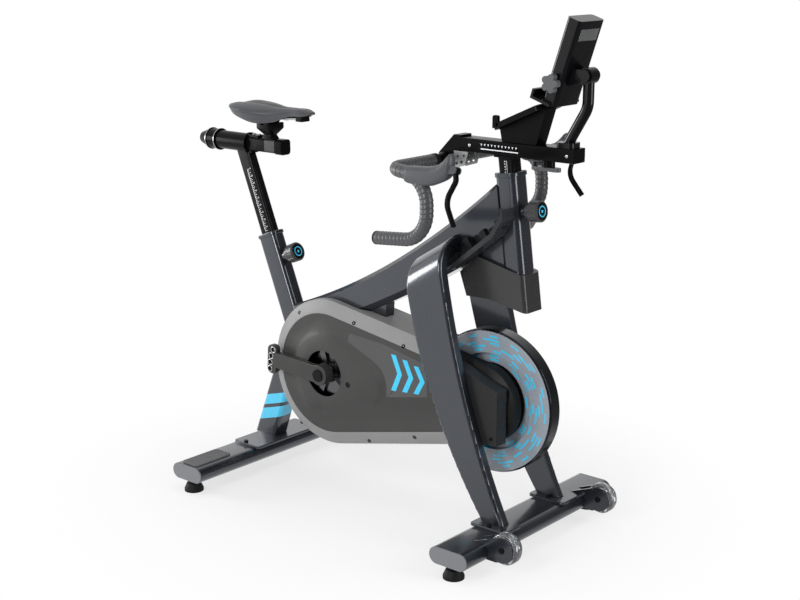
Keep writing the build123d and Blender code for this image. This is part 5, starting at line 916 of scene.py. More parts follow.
@dataclass
class HardParts:
    """Solids that keep their own shape: each takes a finish and a small edge rounding."""

    skins: dict = field(default_factory=lambda: {
        "rear_stabiliser": (FRAME_PAINT, 0.6),
        "front_stabiliser": (FRAME_PAINT, 0.6),
        "stabiliser_end_caps": (CAP_GREY, 1.2),
        "rear_grip_pads": (TREAD_RUBBER, 0.6),
        "base_plates": (FRAME_PAINT, 0.6),
        "frame_fasteners": (BLACK_METAL, 0.5),
        "rear_leg": (BANDED_PAINT, 1.0),
        "seat_tube": (FRAME_PAINT, 0.8),
        "main_beam": (FRAME_PAINT, 2.0),
        "head_tube": (FRAME_PAINT, 1.0),
        "front_leg_right": (LEG_PAINT, 0.0),
        "front_leg_left": (LEG_PAINT, 0.0),
        "drive_frame": (FRAME_PAINT, 0.6),
        "tube_bushes": (FRAME_PAINT, 0.8),
        "chin_cover": (CHIN_DARK, 1.5),
        "bottle_trays": (TRAY_DARK, 1.0),
        "belt_cover_right": (COVER_GREY, 1.2),
        "belt_cover_left": (COVER_GREY, 1.2),
        "cover_panels": (PANEL_DARK, 1.0),
        "axle_supports": (SUPPORT_BLACK, 2.0),
        "wheel_forks": (FRAME_PAINT, 1.0),
        "crank_spindle": (BLACK_METAL, 0.6),
        "crank_arm_right": (CRANK_GREY, 0.6),
        "crank_arm_left": (CRANK_GREY, 0.6),
        "drive_pulley": (SPIDER_DARK, 0.6),
        "flywheel": (FLYWHEEL_PAINT, 0.8),
        "transport_wheel_right": (WHEEL_CLEAR, 0.4),
        "transport_wheel_left": (WHEEL_CLEAR, 0.4),
        "levelling_foot_front_right": (BLACK_RUBBER, 0.8),
        "levelling_foot_front_left": (BLACK_RUBBER, 0.8),
        "levelling_foot_rear_right": (BLACK_RUBBER, 0.8),
        "levelling_foot_rear_left": (BLACK_RUBBER, 0.8),
        "seatpost": (BLACK_METAL, 0.6),
        "seat_housing": (BLACK_ALLOY, 0.6),
        "seat_bar": (BLACK_ALLOY, 0.6),
        "seat_bar_sleeve": (SLEEVE_DARK, 0.4),
        "saddle_clamp": (BLACK_ALLOY, 0.8),
        "saddle_rails": (STEEL, 0.0),
        "saddle_shell": (BLACK_PLASTIC, 0.4),
        "seat_lock_knob": (BLACK_PLASTIC, 0.6),
        "seat_height_knob": (KNOB_GREY, 0.6),
        "bar_post": (BLACK_METAL, 0.6),
        "bar_slider": (BLACK_ALLOY, 0.6),
        "bar_stem": (BLACK_ALLOY, 2.0),
        "handlebar": (BLACK_ALLOY, 0.0),
        "brake_lever_right": (BLACK_ALLOY, 0.8),
        "brake_lever_left": (BLACK_ALLOY, 0.8),
        "bar_height_knob": (KNOB_GREY, 0.6),
        "bar_lock_lever": (KNOB_PALE, 1.0),
        "accessory_shelf": (BLACK_PLASTIC, 1.0),
        "console_arm": (GLOSS_BLACK, 0.6),
        "tablet_holder": (GLOSS_BLACK, 4.0),
        "tablet_knob": (KNOB_PALE, 1.2),
    })
    inner: dict = field(default_factory=lambda: {
        "bearings": STEEL,
        "drive_belt": BLACK_RUBBER,
        "brake_magnet": STEEL,
        "flywheel_shaft": STEEL,
    })

    def build(self) -> None:
        """Dress every solid that keeps its shape."""
        for node, (finish, bevel) in self.skins.items():
            skin(node, finish, bevel)
        for node, finish in self.inner.items():
            mesh = frame["nodes"][node].data
            mesh.materials.clear()
            mesh.materials.append(finish.material())


@dataclass
class Saddle:
    """Padded saddle: crowned, drawn in at the sides, with a channel along the middle."""

    clamp_x: float = -367.67
    # Ahead of the clamp: half width, top, channel depth, lower edge, underside at the middle
    stations: tuple = (
        (-113, 38, 980, 6, 965, 971),
        (-90, 58, 984, 7, 956, 971),
        (-50, 68, 984, 8, 944, 969),
        (-5, 60, 981, 7, 934, 967),
        (40, 38, 977, 5, 938, 964),
        (90, 24, 977, 3, 955, 962.5),
        (135, 19, 976, 1.5, 959, 962),
        (152, 11, 971, 0.5, 963, 964.5),
    )
    tuck: float = 0.82
    shoulder: float = 0.45
    notch: float = 9.0
    notch_length: float = 22.0
    notch_width: float = 15.0
    crown_powers: tuple = (2.5, 0.55)
    channel_spread: float = 9.0
    rear_spread: float = 13.0
    spread_reach: float = 100.0
    wall_share: float = 0.2
    end_reaches: tuple = (-5.0, 4.0)
    end_rings: int = 6
    end_angle: float = 0.02
    welt_radius: float = 0.7
    welt_inset: float = 4.0
    welt_proud: float = 0.1
    welt_drop: float = 1.0
    rows: int = 72
    columns: int = 96

    def sizes(self, ahead: Array) -> Array:
        """Station sizes at distances ahead of the clamp, by cubic pieces through the stations.

        Args:
            ahead: Distances in millimetres.

        Returns:
            One row of sizes for each distance.
        """
        table = np.array(self.stations, dtype=float)
        knots, values = table[:, 0], table[:, 1:]
        slopes = np.gradient(values, knots, axis=0)
        left = np.clip(np.searchsorted(knots, ahead, side="right") - 1, 0, len(knots) - 2)
        width = knots[left + 1] - knots[left]
        t = ((ahead - knots[left]) / width)[:, None]
        width = width[:, None]
        return ((2 * t**3 - 3 * t**2 + 1) * values[left] + (t**3 - 2 * t**2 + t) * width * slopes[left]
                + (3 * t**2 - 2 * t**3) * values[left + 1] + (t**3 - t**2) * width * slopes[left + 1])

    def grid(self) -> Array:
        """Closed surface: each cross-section runs over the crown, down a side, under and back up.

        Returns:
            Grid of points in metres.
        """
        ahead = np.linspace(self.stations[0][0], self.stations[-1][0], self.rows)
        half, top, channel, side, middle = [column[:, None] for column in self.sizes(ahead).T]
        edge = top - self.shoulder * (top - side)
        over = np.cos(np.linspace(0, np.pi, self.columns // 2, endpoint=False))[None, :]
        bulge, fullness = self.crown_powers
        crown = (1 - np.abs(over) ** bulge) ** fullness
        rearward = np.clip(-ahead / self.spread_reach, 0.0, 1.0)[:, None]
        spread = self.channel_spread + self.rear_spread * rearward
        high = edge + (top - edge) * crown - channel * np.exp(-(half * over / spread) ** 2)
        under = np.linspace(0, 1, self.columns // 2 + 1)[None, :]
        share = self.wall_share
        across = np.interp(under, (0, share, 1 - share, 1), (-1, -self.tuck, self.tuck, 1))
        wall = np.clip(np.minimum(under, 1 - under) / share, 0, 1)
        arch = side + (middle - side) * (1 - (across / self.tuck) ** 2)
        low = np.where(wall < 1, edge + (side - edge) * np.sin(wall * np.pi / 2), arch)
        y = np.concatenate((half * over, half * across), axis=1)
        z = np.concatenate((high, low), axis=1)
        x = np.broadcast_to(ahead[:, None], y.shape)
        tail = np.exp(-(x - ahead[0]) / self.notch_length)
        x = x + self.notch * tail * np.exp(-(y / self.notch_width) ** 2)
        grid = np.stack((x + self.clamp_x, y, z), axis=-1)
        return self.rounded_ends(grid) * MM

    def rounded_ends(self, grid: Array) -> Array:
        """Close both ends with rings that shrink on a quarter circle towards their middle.

        Args:
            grid: Open grid of points.

        Returns:
            Grid with the end rings added.
        """
        turn = np.linspace(np.pi / 2, self.end_angle, self.end_rings)[:, None, None]
        ends = []
        for row, reach in zip((grid[0], grid[-1]), self.end_reaches):
            middle = row.mean(axis=0)
            ring = middle + (row - middle) * np.sin(turn)
            ring[..., 0] += reach * np.cos(turn[..., 0])
            ends.append(ring)
        return np.concatenate((ends[0][:0:-1], grid, ends[1][1:]))

    def build(self) -> None:
        """Make the pad and the welt round its sides."""
        pad = surface("saddle_cushion", self.grid(), SADDLE_GREY, "saddle", caps=True, smooth=60)
        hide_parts("saddle_pad")
        modifier = pad.modifiers.new("soft_form", "SUBSURF")
        modifier.levels = modifier.render_levels = 1
        self.welt()

    def welt(self) -> None:
        """Sewn welt: a thin round bead along the widest line of each side of the pad."""
        first, last = self.stations[0][0] + self.welt_inset, self.stations[-1][0] - self.welt_inset
        ahead = np.linspace(first, last, 120)
        half, top, _, side, _ = self.sizes(ahead).T
        edge = top - self.shoulder * (top - side)
        turn = np.linspace(0, 2 * np.pi, 9)
        parts = []
        for sign in (-1, 1):
            path = np.stack((ahead + self.clamp_x, sign * (half + self.welt_proud), edge - self.welt_drop),
                            axis=-1) * MM
            grid = tube(path, self.welt_radius * MM, turn)
            parts.append((grid.reshape(-1, 3), grid_faces(*grid.shape[:2])))
        joined_piece("saddle_welt", parts, SEAM_DARK, "saddle")


@dataclass
class DropBar:
    """Wound grips, hoods and bar-end plugs of the drop handlebar."""

    bar: tuple = (352.0, 900.0)
    half_width: float = 220.0
    reach: float = 106.0
    drop: float = 150.0
    ramp_fall: float = 8.0
    end: tuple = (310.0, 737.0)
    radii: tuple = (36.0, 68.0, 68.0)
    start: float = 60.0
    tape: float = 14.7
    ridge: float = 1.25
    pitch: float = 11.0
    pivot: tuple = (537.0, 914.0)
    flare: float = 14.0
    step: float = 1.1
    rise_share: float = 0.85
    fall_share: float = 0.15
    plug: tuple = ((3.0, 0.0), (3.0, 13.0), (1.5, 15.8), (-1.0, 15.8), (-1.0, 0.0))
    plug_inset: float = 2.2
    band: tuple = ((-3.0, 12.2), (-3.0, 15.9), (-2.0, 16.2), (9.0, 16.2), (10.0, 15.9), (10.0, 12.2))
    # Ahead of the crank: middle height, half height and half width
    hood_stations: tuple = (
        (405.5, 893.0, 17.8, 17.2), (412, 893.0, 19.4, 18.0), (430, 892.8, 20.8, 18.6),
        (458, 893.2, 21.8, 18.8), (478, 896.5, 21.4, 18.4), (496, 903.0, 21.0, 17.8),
        (508, 909.8, 22.4, 17.2), (517, 917.0, 24.6, 16.4), (523, 923.0, 25.6, 15.2),
        (527, 927.5, 22.5, 12.6), (529.3, 930.5, 15.0, 8.5), (530.3, 932.0, 5.0, 3.2),
    )
    hood_power: float = 0.72
    ear_reach: float = 27.0
    ear_radius: float = 9.0
    ear_thick: float = 3.5
    ear_faces: tuple = (-10.8, 7.3)
    pin: tuple = ((-11.6, 0.0), (-11.6, 3.6), (11.6, 3.6), (11.6, 0.0))

    def build(self) -> None:
        """Make both grips, both hoods and the plugs."""
        for side in Side:
            self.wound(side)
            self.hood(side)
        self.plugs()

    def path(self, side: Side) -> Array:
        """Centre line of one half of the bar, from where its winding starts.

        Args:
            side: Side of the bike.

        Returns:
            Points in metres.
        """
        x, z = self.bar
        y = side.value * self.half_width
        corners = np.array((
            (x, side.value * self.start, z),
            (x, y, z),
            (x + self.reach, y, z - self.ramp_fall),
            (x + self.reach, y, z - self.drop),
            (self.end[0], y, self.end[1]),
        )) + (CRANK_X, 0.0, 0.0)
        return rounded_path(corners * MM, tuple(r * MM for r in self.radii), self.step * MM)

    def wound(self, side: Side) -> None:
        """Wound grip: a tube whose radius steps up along each turn of the winding.

        Args:
            side: Side of the bike.
        """
        path = self.path(side)
        turn = np.linspace(0, 2 * np.pi, 29)
        along = np.arange(len(path))[:, None] * self.step
        phase = (along / self.pitch + side.value * turn[None, :] / (2 * np.pi)) % 1.0
        rise = np.where(phase < self.rise_share, phase / self.rise_share, (1 - phase) / self.fall_share)
        grid = tube(path, (self.tape + self.ridge * rise) * MM, turn)
        name = side.name.lower()
        piece = surface(f"bar_grip_{name}", grid, GRIP_GREY, "bar_slide", caps=True, smooth=50)
        if side is Side.RIGHT:
            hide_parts("bar_tape")

    def plugs(self) -> None:
        """Turned plugs in the ends of the bar and finishing bands where the winding starts."""
        parts = []
        for side in Side:
            path = self.path(side)
            outward = path[-1] - path[-4]
            parts.append(lathe_part(self.plug, path[-1] - unit(outward) * self.plug_inset * MM, outward))
            parts.append(lathe_part(self.band, path[0], path[3] - path[0]))
        joined_piece("bar_plugs", parts, BLACK_RUBBER, "bar_slide")

    def hood(self, side: Side) -> None:
        """Moulded hood: rounded-square sections along the bike, rising into a horn at the front.

        Args:
            side: Side of the bike.
        """
        table = np.array(self.hood_stations)
        along = np.linspace(table[0, 0], table[-1, 0], 70)
        middle, high, wide = [np.interp(along, table[:, 0], table[:, k])[:, None] for k in (1, 2, 3)]
        turn = np.linspace(0, 2 * np.pi, 49)[None, :]
        y = np.sign(np.cos(turn)) * np.abs(np.cos(turn)) ** self.hood_power * wide
        z = np.sign(np.sin(turn)) * np.abs(np.sin(turn)) ** self.hood_power * high + middle
        x = np.broadcast_to(along[:, None], y.shape)
        grid = np.stack((x, y + side.value * self.half_width, z), axis=-1)
        grid = (grid + (CRANK_X, 0.0, 0.0)) * MM
        name = side.name.lower()
        piece = surface(f"hood_{name}", grid, HOOD_GREY, "bar_slide", caps=True, smooth=70)
        self.ears(side)
        if side is Side.RIGHT:
            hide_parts("lever_hoods")

    def ears(self, side: Side) -> None:
        """Ears and pivot pin that carry the lever in front of the hood.

        Args:
            side: Side of the bike.
        """
        flare = math.radians(self.flare)
        up = np.array((0.0, -side.value * math.sin(flare), math.cos(flare)))
        out = np.cross(FORWARD, up)
        centre = point(self.pivot[0], side.value * self.half_width, self.pivot[1])
        turn = np.linspace(-np.pi / 2, np.pi / 2, 16)
        reach, radius = self.ear_reach, self.ear_radius
        nose = radius * np.stack((np.cos(turn), np.sin(turn)), axis=-1)
        outline = np.concatenate((((-reach, -radius),), nose, ((-reach, radius),)))
        parts = [plate(outline, centre + edge * MM * out, FORWARD, up, self.ear_thick)
                 for edge in self.ear_faces]
        parts.append(lathe_part(self.pin, centre, out, 20))
        bevelled(joined_piece(f"lever_ears_{side.name.lower()}", parts, HOOD_GREY, "bar_slide"), 0.5)


@dataclass
class CoverTrim:
    """Screws, plugs and the printed panel on both belt covers, and studs on the axle supports."""

    crank: tuple = (0.0, 316.0)
    axle: tuple = (490.0, 334.0)
    big: float = 190.0
    small: float = 97.0
    edge: float = 52.0
    face: float = 66.0
    band: float = 31.0
    dome: float = 74.0
    screws: tuple = ((-96.5, 458.8), (97.6, 465.4), (260.9, 436.2), (139.5, 162.2), (292.7, 208.6))
    plug: tuple = (84.0, 303.0)
    studs: tuple = ((462.0, 276.0), (462.0, 416.0), (556.0, 276.0))
    stud_face: float = 102.0
    screw_profile: tuple = ((-1.5, 5.0), (0.9, 5.0), (1.4, 4.5), (1.4, 2.7), (-0.6, 2.5), (-0.6, 0.0))
    plug_profile: tuple = ((-1.0, 7.5), (0.5, 7.5), (1.1, 6.6), (0.7, 5.0), (0.5, 0.0))
    stud_profile: tuple = ((-1.0, 4.6), (1.6, 4.6), (2.2, 4.0), (2.2, 2.2), (0.6, 2.0), (0.6, 0.0))
    dome_centre: tuple = (140.0, 316.0)
    dome_radius: float = 67.0
    dome_arc: tuple = (68.0, -20.0)
    field_corners: tuple = ((203.0, 294.0), (336.0, 322.0), (336.0, 402.0), (199.0, 429.0), (84.0, 437.0),
                            (78.0, 414.0))
    field_depth: float = 0.35
    stripe_depth: float = 0.63
    stripe_wide: float = 15.0
    stripe_point: float = 20.0
    # Start ahead of the crank, middle height and half height of each stripe
    chevrons: tuple = ((222.0, 363.0, 46.0), (258.0, 361.0, 41.0), (294.0, 358.0, 35.0))

    def on_band(self, spot: tuple, side: Side) -> tuple[Array, Array]:
        """Place and outward direction on the sloping band round a cover.

        The outline is two circles and their common tangents, so its normal is the tangent's normal ahead of
        the crank and the ray from the crank behind it. The band rises evenly from its edge to the face.

        Args:
            spot: Distance forward of the crank and height.
            side: Side of the bike.

        Returns:
            Place in metres and unit direction.
        """
        offset = np.array(spot) - self.crank
        line = np.array(self.axle) - self.crank
        sign = 1.0 if offset[1] > 0 else -1.0
        spread = math.acos((self.big - self.small) / np.linalg.norm(line))
        angle = math.atan2(line[1], line[0]) + sign * spread
        normal = np.array((math.cos(angle), math.sin(angle)))
        if offset @ np.array((normal[1], -normal[0])) * sign < 0:
            normal = unit(offset)
        inset = float(np.clip((self.big - offset @ normal) / self.band, 0.0, 1.0))
        rise = self.face - self.edge
        place = point(spot[0], side.value * (self.edge + rise * inset), spot[1])
        return place, unit(np.array((normal[0] * rise, side.value * self.band, normal[1] * rise)))

    def build(self) -> None:
        """Make the screws, the plugs, the studs and the printed panels."""
        parts = []
        for side in Side:
            out = (0, side.value, 0)
            parts += [lathe_part(self.screw_profile, *self.on_band(spot, side), 24) for spot in self.screws]
            plug = point(self.plug[0], side.value * self.dome, self.plug[1])
            parts.append(lathe_part(self.plug_profile, plug, out, 28))
            parts += [lathe_part(self.stud_profile, point(x, side.value * self.stud_face, z), out, 24)
                      for x, z in self.studs]
            self.panel(side)
        joined_piece("cover_screws", parts, BLACK_METAL, "frame")

    def panel(self, side: Side) -> None:
        """Printed panel: a paler field beside the dome with three arrowhead stripes that point forward.

        Args:
            side: Side of the bike.
        """
        turn = np.radians(np.linspace(*self.dome_arc, 18))
        dome = self.dome_radius * np.stack((np.cos(turn), np.sin(turn)), axis=-1) + self.dome_centre
        field_line = np.concatenate((dome, self.field_corners))
        origin = point(0, side.value * self.face, 0)
        name = side.name.lower()
        panel = plate(field_line, origin, FORWARD, UPWARD, -side.value * self.field_depth)
        joined_piece(f"panel_field_{name}", [panel], PRINT_GREY, "frame")
        stripes = []
        for start, middle, half in self.chevrons:
            shoulder, notch = start + self.stripe_wide, start + self.stripe_point
            outline = ((start, middle - half), (shoulder, middle - half), (notch + self.stripe_wide, middle),
                       (shoulder, middle + half), (start, middle + half), (notch, middle))
            stripes.append(plate(outline, origin, FORWARD, UPWARD, -side.value * self.stripe_depth))
        joined_piece(f"panel_stripes_{name}", stripes, PRINT_BLUE, "frame")


def up_post(lean: float) -> tuple[Array, Array]:
    """Two directions in the side of a post that leans back: up along it, and forward across it.

    Args:
        lean: Angle of the post to the floor.

    Returns:
        The two unit vectors.
    """
    lean = math.radians(lean)
    up = np.array((-math.cos(lean), 0.0, math.sin(lean)))
    return up, np.array((math.sin(lean), 0.0, math.cos(lean)))


@dataclass
class PrintedScales:
    """Printed setting scales on the seat post, the bar slider and the bar post."""

    seat_lean: float = 68.0
    seat_face: float = 14.5
    seat_low: float = 645.0
    seat_high: float = 803.0
    seat_line: tuple = (-127.0, 316.0)
    tick_step: float = 5.0
    ticks: tuple = (9.0, 5.5)
    line_width: float = 1.1
    digit_size: float = 7.0
    digit_shift: float = 11.0
    rail_shift: float = 2.0
    slider_face: float = 23.0
    slider_span: tuple = (457.0, 554.0)
    slider_mark: tuple = ((-2.4, 2.6), (0.0, -2.6), (2.4, 2.6))
    mark_height: float = 941.0
    slider_line: tuple = (455.0, 932.0)
    slider_line_size: tuple = (105.0, 2.6)
    post_lean: float = 82.5
    post_face: float = 19.0
    post_dot: tuple = (524.5, 879.0)
    dot_radius: float = 1.5
    dot_step: float = 6.0
    post_line: tuple = (529.0, 879.0)
    post_line_rise: float = 14.0
    post_line_size: tuple = (1.2, 36.0)

    def build(self) -> None:
        """Print all three scales."""
        self.seat_ruler()
        self.slider_marks()
        self.post_dots()

    def bar(self, width: float, height: float) -> Array:
        """Outline of a small printed bar, its start at mid height."""
        return np.array(((0, -height / 2), (width, -height / 2), (width, height / 2), (0, height / 2)))

    def seat_ruler(self) -> None:
        """Ruler up the post: a tick every 5 mm, longer every 10 mm, and a number every 20 mm."""
        up, across = up_post(self.seat_lean)
        lean = math.radians(self.seat_lean)
        length = (self.seat_high - self.seat_low) / math.sin(lean)
        line_x, line_z = self.seat_line
        foot = np.array((line_x - (self.seat_low - line_z) / math.tan(lean), -self.seat_face, self.seat_low))
        parts = []
        for step in range(int(length / self.tick_step) + 1):
            start = foot + up * self.tick_step * step - across
            tick = self.bar(self.ticks[step % 2], self.line_width)
            parts.append(plate(tick, point(*start), across, up, PRINT_DEPTH))
            if step % 4 == 2:
                digit = number_mesh(str(step // 4 + 1), self.digit_size * MM)
                parts.append(laid(digit, point(*(start + across * self.digit_shift)), across, up))
        rail = self.bar(self.line_width, length)
        middle = foot + up * length / 2 - across * self.rail_shift
        parts.append(plate(rail, point(*middle), across, up, PRINT_DEPTH))
        joined_piece("seat_ruler", parts, PRINT_WHITE, "seatpost")

    def slider_marks(self) -> None:
        """Eleven marks along the slider over a printed line, on its right side."""
        parts = []
        for spot in np.linspace(*self.slider_span, 11):
            place = point(spot, -self.slider_face, self.mark_height)
            parts.append(plate(self.slider_mark, place, FORWARD, UPWARD, PRINT_DEPTH))
        line_x, line_z = self.slider_line
        line = point(line_x, -self.slider_face, line_z)
        parts.append(plate(self.bar(*self.slider_line_size), line, FORWARD, UPWARD, PRINT_DEPTH))
        joined_piece("slider_scale", parts, PRINT_WHITE, "bar_slide")

    def post_dots(self) -> None:
        """Six dots and a line up the right side of the bar post."""
        up, across = up_post(self.post_lean)
        first, line = [np.array((x, -self.post_face, z)) for x, z in (self.post_dot, self.post_line)]
        parts = []
        for step in range(6):
            spot = first + up * self.dot_step * step
            parts.append(plate(disc_outline(self.dot_radius, 16), point(*spot), across, up, PRINT_DEPTH))
        middle = line + up * self.post_line_rise
        parts.append(plate(self.bar(*self.post_line_size), point(*middle), across, up, PRINT_DEPTH))
        joined_piece("post_scale", parts, PRINT_WHITE, "bar_post")


@dataclass
class KnobFaces:
    """Glossy face with a blue ring, and a bright collar, on the two height knobs."""

    reach: float = 50.0
    collar: tuple = ((9.5, 9.2), (9.5, 12.0), (10.2, 12.6), (12.6, 12.6), (13.2, 12.0), (13.2, 9.2))
    face: float = 21.0
    ring: float = 13.0
    width: float = 2.6
    dot: tuple = ((0.3, 3.2), (0.8, 3.2), (0.8, 0.0))
    seat_origin: tuple = (-320.39, 0.0, 583.94)
    seat_axis: tuple = (0.927184, 0.0, 0.374607)
    bar_origin: tuple = (445.43, 0.0, 796.36)
    bar_axis: tuple = (0.991445, 0.0, 0.130526)

    def build(self) -> None:
        """Put a face, a printed ring and a collar on each knob."""
        for name, origin, axis in (("seat_height_knob", self.seat_origin, self.seat_axis),
                                   ("bar_height_knob", self.bar_origin, self.bar_axis)):
            face = (np.array(origin) + self.reach * np.array(axis)) * MM
            cap = ((-0.5, self.face), (0.2, self.face), (0.7, self.face - 1.2), (0.4, 0.0))
            surface(f"{name}_face", lathe(cap, face, axis), GLOSS_BLACK, name)
            inner, outer = self.ring - self.width, self.ring
            ring = ((0.3, inner), (0.8, inner), (0.8, outer), (0.3, outer))
            print_parts = [lathe_part(ring, face, axis, 48), lathe_part(self.dot, face, axis, 24)]
            joined_piece(f"{name}_ring", print_parts, PRINT_BLUE, name)
            surface(f"{name}_collar", lathe(self.collar, np.array(origin) * MM, axis), POLISHED, name)


@dataclass
class SeatTrim:
    """Bright rings on the slide collar and bolts on the guide's lug."""

    axis_z: float = 872.0
    collar_radius: float = 29.0
    rings: tuple = (-439.6, -471.6)
    bolts: tuple = (-310.0, -290.0)
    lug_top: float = 896.0
    bolt: tuple = ((-0.5, 4.4), (2.4, 4.4), (3.0, 3.8), (3.0, 2.2), (1.2, 2.0), (1.2, 0.0))
    ring: tuple = ((-1.6, -0.3), (-0.9, 0.35), (0.9, 0.35), (1.6, -0.3))

    def build(self) -> None:
        """Make the rings and the bolts."""
        ring = np.array(self.ring) + (0.0, self.collar_radius)
        parts = [lathe_part(ring, point(spot, 0, self.axis_z), FORWARD, 64) for spot in self.rings]
        parts += [lathe_part(self.bolt, point(spot, 0, self.lug_top), UPWARD, 24) for spot in self.bolts]
        joined_piece("seat_bright_trim", parts, POLISHED, "seatpost")


@dataclass
class BarTrim:
    """Perforated plates under the slider, screws on it, blocks on the bottle ledges and a shelf tab."""

    plate_face: float = 21.0
    plate_thick: float = 2.4
    outline: tuple = ((378.0, 921.0), (419.0, 921.0), (411.0, 889.0), (378.0, 879.0))
    holes: tuple = ((386.0, 892.0, 4.0), (400.0, 896.0, 4.0), (389.0, 908.0, 3.0), (407.0, 911.0, 3.0))
    screw: tuple = ((-0.5, 3.6), (1.0, 3.6), (1.4, 3.1), (1.4, 1.9), (0.2, 1.7), (0.2, 0.0))
    screw_spots: tuple = (423.0, 690.0)
    screw_face: float = 23.0
    screw_height: float = 937.0
    # Place ahead of the crank, height, and how far each block's foot lies below that place
    clips: tuple = ((536.0, 772.0, -13.0), (494.0, 741.0, -22.0), (448.0, 716.0, -31.0))
    clip_half: float = 8.0
    clip_top: float = 13.0
    clip_side: float = 44.0
    ledge_slope: tuple = (0.78, 0.0, 0.62)
    tab: tuple = ((505.0, 985.0), (521.0, 991.0), (521.0, 1013.0), (518.0, 1015.0), (508.0, 1015.0),
                  (505.0, 1012.0))
    tab_side: float = -40.0
    tab_thick: float = 8.0

    def build(self) -> None:
        """Make plates, screws, blocks and the tab."""
        outlines = [np.array(self.outline) * MM]
        outlines += [np.array((x, z)) * MM + disc_outline(r * MM, 20) for x, z, r in self.holes]
        sheet = flat_sheet(outlines, self.plate_thick * MM)
        middle = self.plate_face + self.plate_thick / 2
        plates = [laid(sheet, point(0, side.value * middle, 0), FORWARD, UPWARD) for side in Side]
        joined_piece("slider_brackets", plates, BRUSHED, "bar_slide")
        heads = [lathe_part(self.screw, point(spot, side.value * self.screw_face, self.screw_height),
                            (0, side.value, 0), 24)
                 for side in Side for spot in self.screw_spots]
        joined_piece("slider_screws", heads, STEEL, "bar_slide")
        self.tray_clips()

    def tray_clips(self) -> None:
        """Upright blocks on the bottle ledges, square to their slope, and a tab at the shelf's corner."""
        slope = unit(np.array(self.ledge_slope))
        rise = np.array((-slope[2], 0.0, slope[0]))
        half, top = self.clip_half, self.clip_top
        parts = []
        for side in Side:
            for x, z, foot in self.clips:
                box = ((-half, foot), (half, foot), (half, top), (-half, top))
                origin = point(x, side.value * self.clip_side, z)
                parts.append(plate(box, origin, slope, rise, -side.value * 2 * half))
        bevelled(joined_piece("tray_clips", parts, BLACK_RUBBER, "frame"), 1.2)
        tab = plate(self.tab, point(0, self.tab_side, 0), FORWARD, UPWARD, self.tab_thick)
        bevelled(joined_piece("shelf_tab", [tab], BLACK_PLASTIC, "bar_slide"), 1.0)


@dataclass
class CrankTrim:
    """Bright washers round the four pedal places of each crank."""

    angle: float = 3.8
    face: float = 95.0
    hub_z: float = 316.0
    places: tuple = ((165.0, -27.0), (170.0, -9.0), (172.5, 9.0), (175.0, 27.0))
    washer: tuple = ((-0.4, 6.7), (0.5, 6.7), (0.7, 7.0), (0.7, 8.0), (0.4, 8.4), (-0.4, 8.4))

    def build(self) -> None:
        """Make the washers: each lies on its crank's outer face, square to the spindle."""
        for side in Side:
            turn = math.radians(-self.angle if side is Side.LEFT else 180.0 - self.angle)
            along = np.array((math.cos(turn), 0.0, math.sin(turn)))
            across = side.value * np.array((math.sin(turn), 0.0, -math.cos(turn)))
            hub = np.array((0.0, side.value * self.face, self.hub_z))
            parts = []
            for radius, shift in self.places:
                spot = hub + math.sqrt(radius**2 - shift**2) * along + shift * across
                parts.append(lathe_part(self.washer, point(*spot), (0, side.value, 0), 28))
            joined_piece(f"pedal_washers_{side.name.lower()}", parts, STEEL, "crank")


@dataclass
class TabletPlate:
    """Bare bright plate on the back of the tablet holder."""

    foot: tuple = (653.0, 1049.0)
    lean: float = 18.4
    half_thick: float = 18.0
    along: float = 163.0
    size: tuple = (68.0, 26.0)
    thick: float = 0.6

    def build(self) -> None:
        """Make the plate: a thin rectangle on the holder's back face, square to its lean."""
        lean = math.radians(self.lean)
        up = np.array((math.sin(lean), 0.0, math.cos(lean)))
        out = np.array((math.cos(lean), 0.0, -math.sin(lean)))
        centre = np.array((self.foot[0], 0.0, self.foot[1])) + self.along * up + self.half_thick * out
        wide, high = self.size
        outline = np.array(((-wide, -high), (wide, -high), (wide, high), (-wide, high))) / 2
        back = plate(outline, point(*centre), LEFTWARD, up, self.thick)
        bevelled(joined_piece("holder_plate", [back], BRUSHED, "tablet_holder"), 0.3)


def seen_rays(net: NodeTree) -> bpy.types.NodeSocket:
    """Mask of the rays that show the background: camera, glossy and transmission rays."""
    light = net.add("ShaderNodeLightPath")
    seen = net.math("MAXIMUM", light.outputs["Is Camera Ray"], light.outputs["Is Glossy Ray"])
    return net.math("MAXIMUM", seen, light.outputs["Is Transmission Ray"])


@dataclass(frozen=True)
class Lamp:
    """One soft strip lamp: its place and size in metres and its power in watts."""

    name: str
    place: tuple
    wide: float
    high: float
    power: float

    def build(self, aim: tuple) -> None:
        """Make the lamp and turn it towards a point."""
        data = bpy.data.lights.new(self.name, "AREA")
        data.shape = "RECTANGLE"
        data.size = self.wide
        data.size_y = self.high
        data.energy = self.power
        lamp = bpy.data.objects.new(self.name, data)
        lamp.location = self.place
        lamp.rotation_euler = (Vector(aim) - Vector(self.place)).to_track_quat("-Z", "Y").to_euler()
        bpy.context.scene.collection.objects.link(lamp)


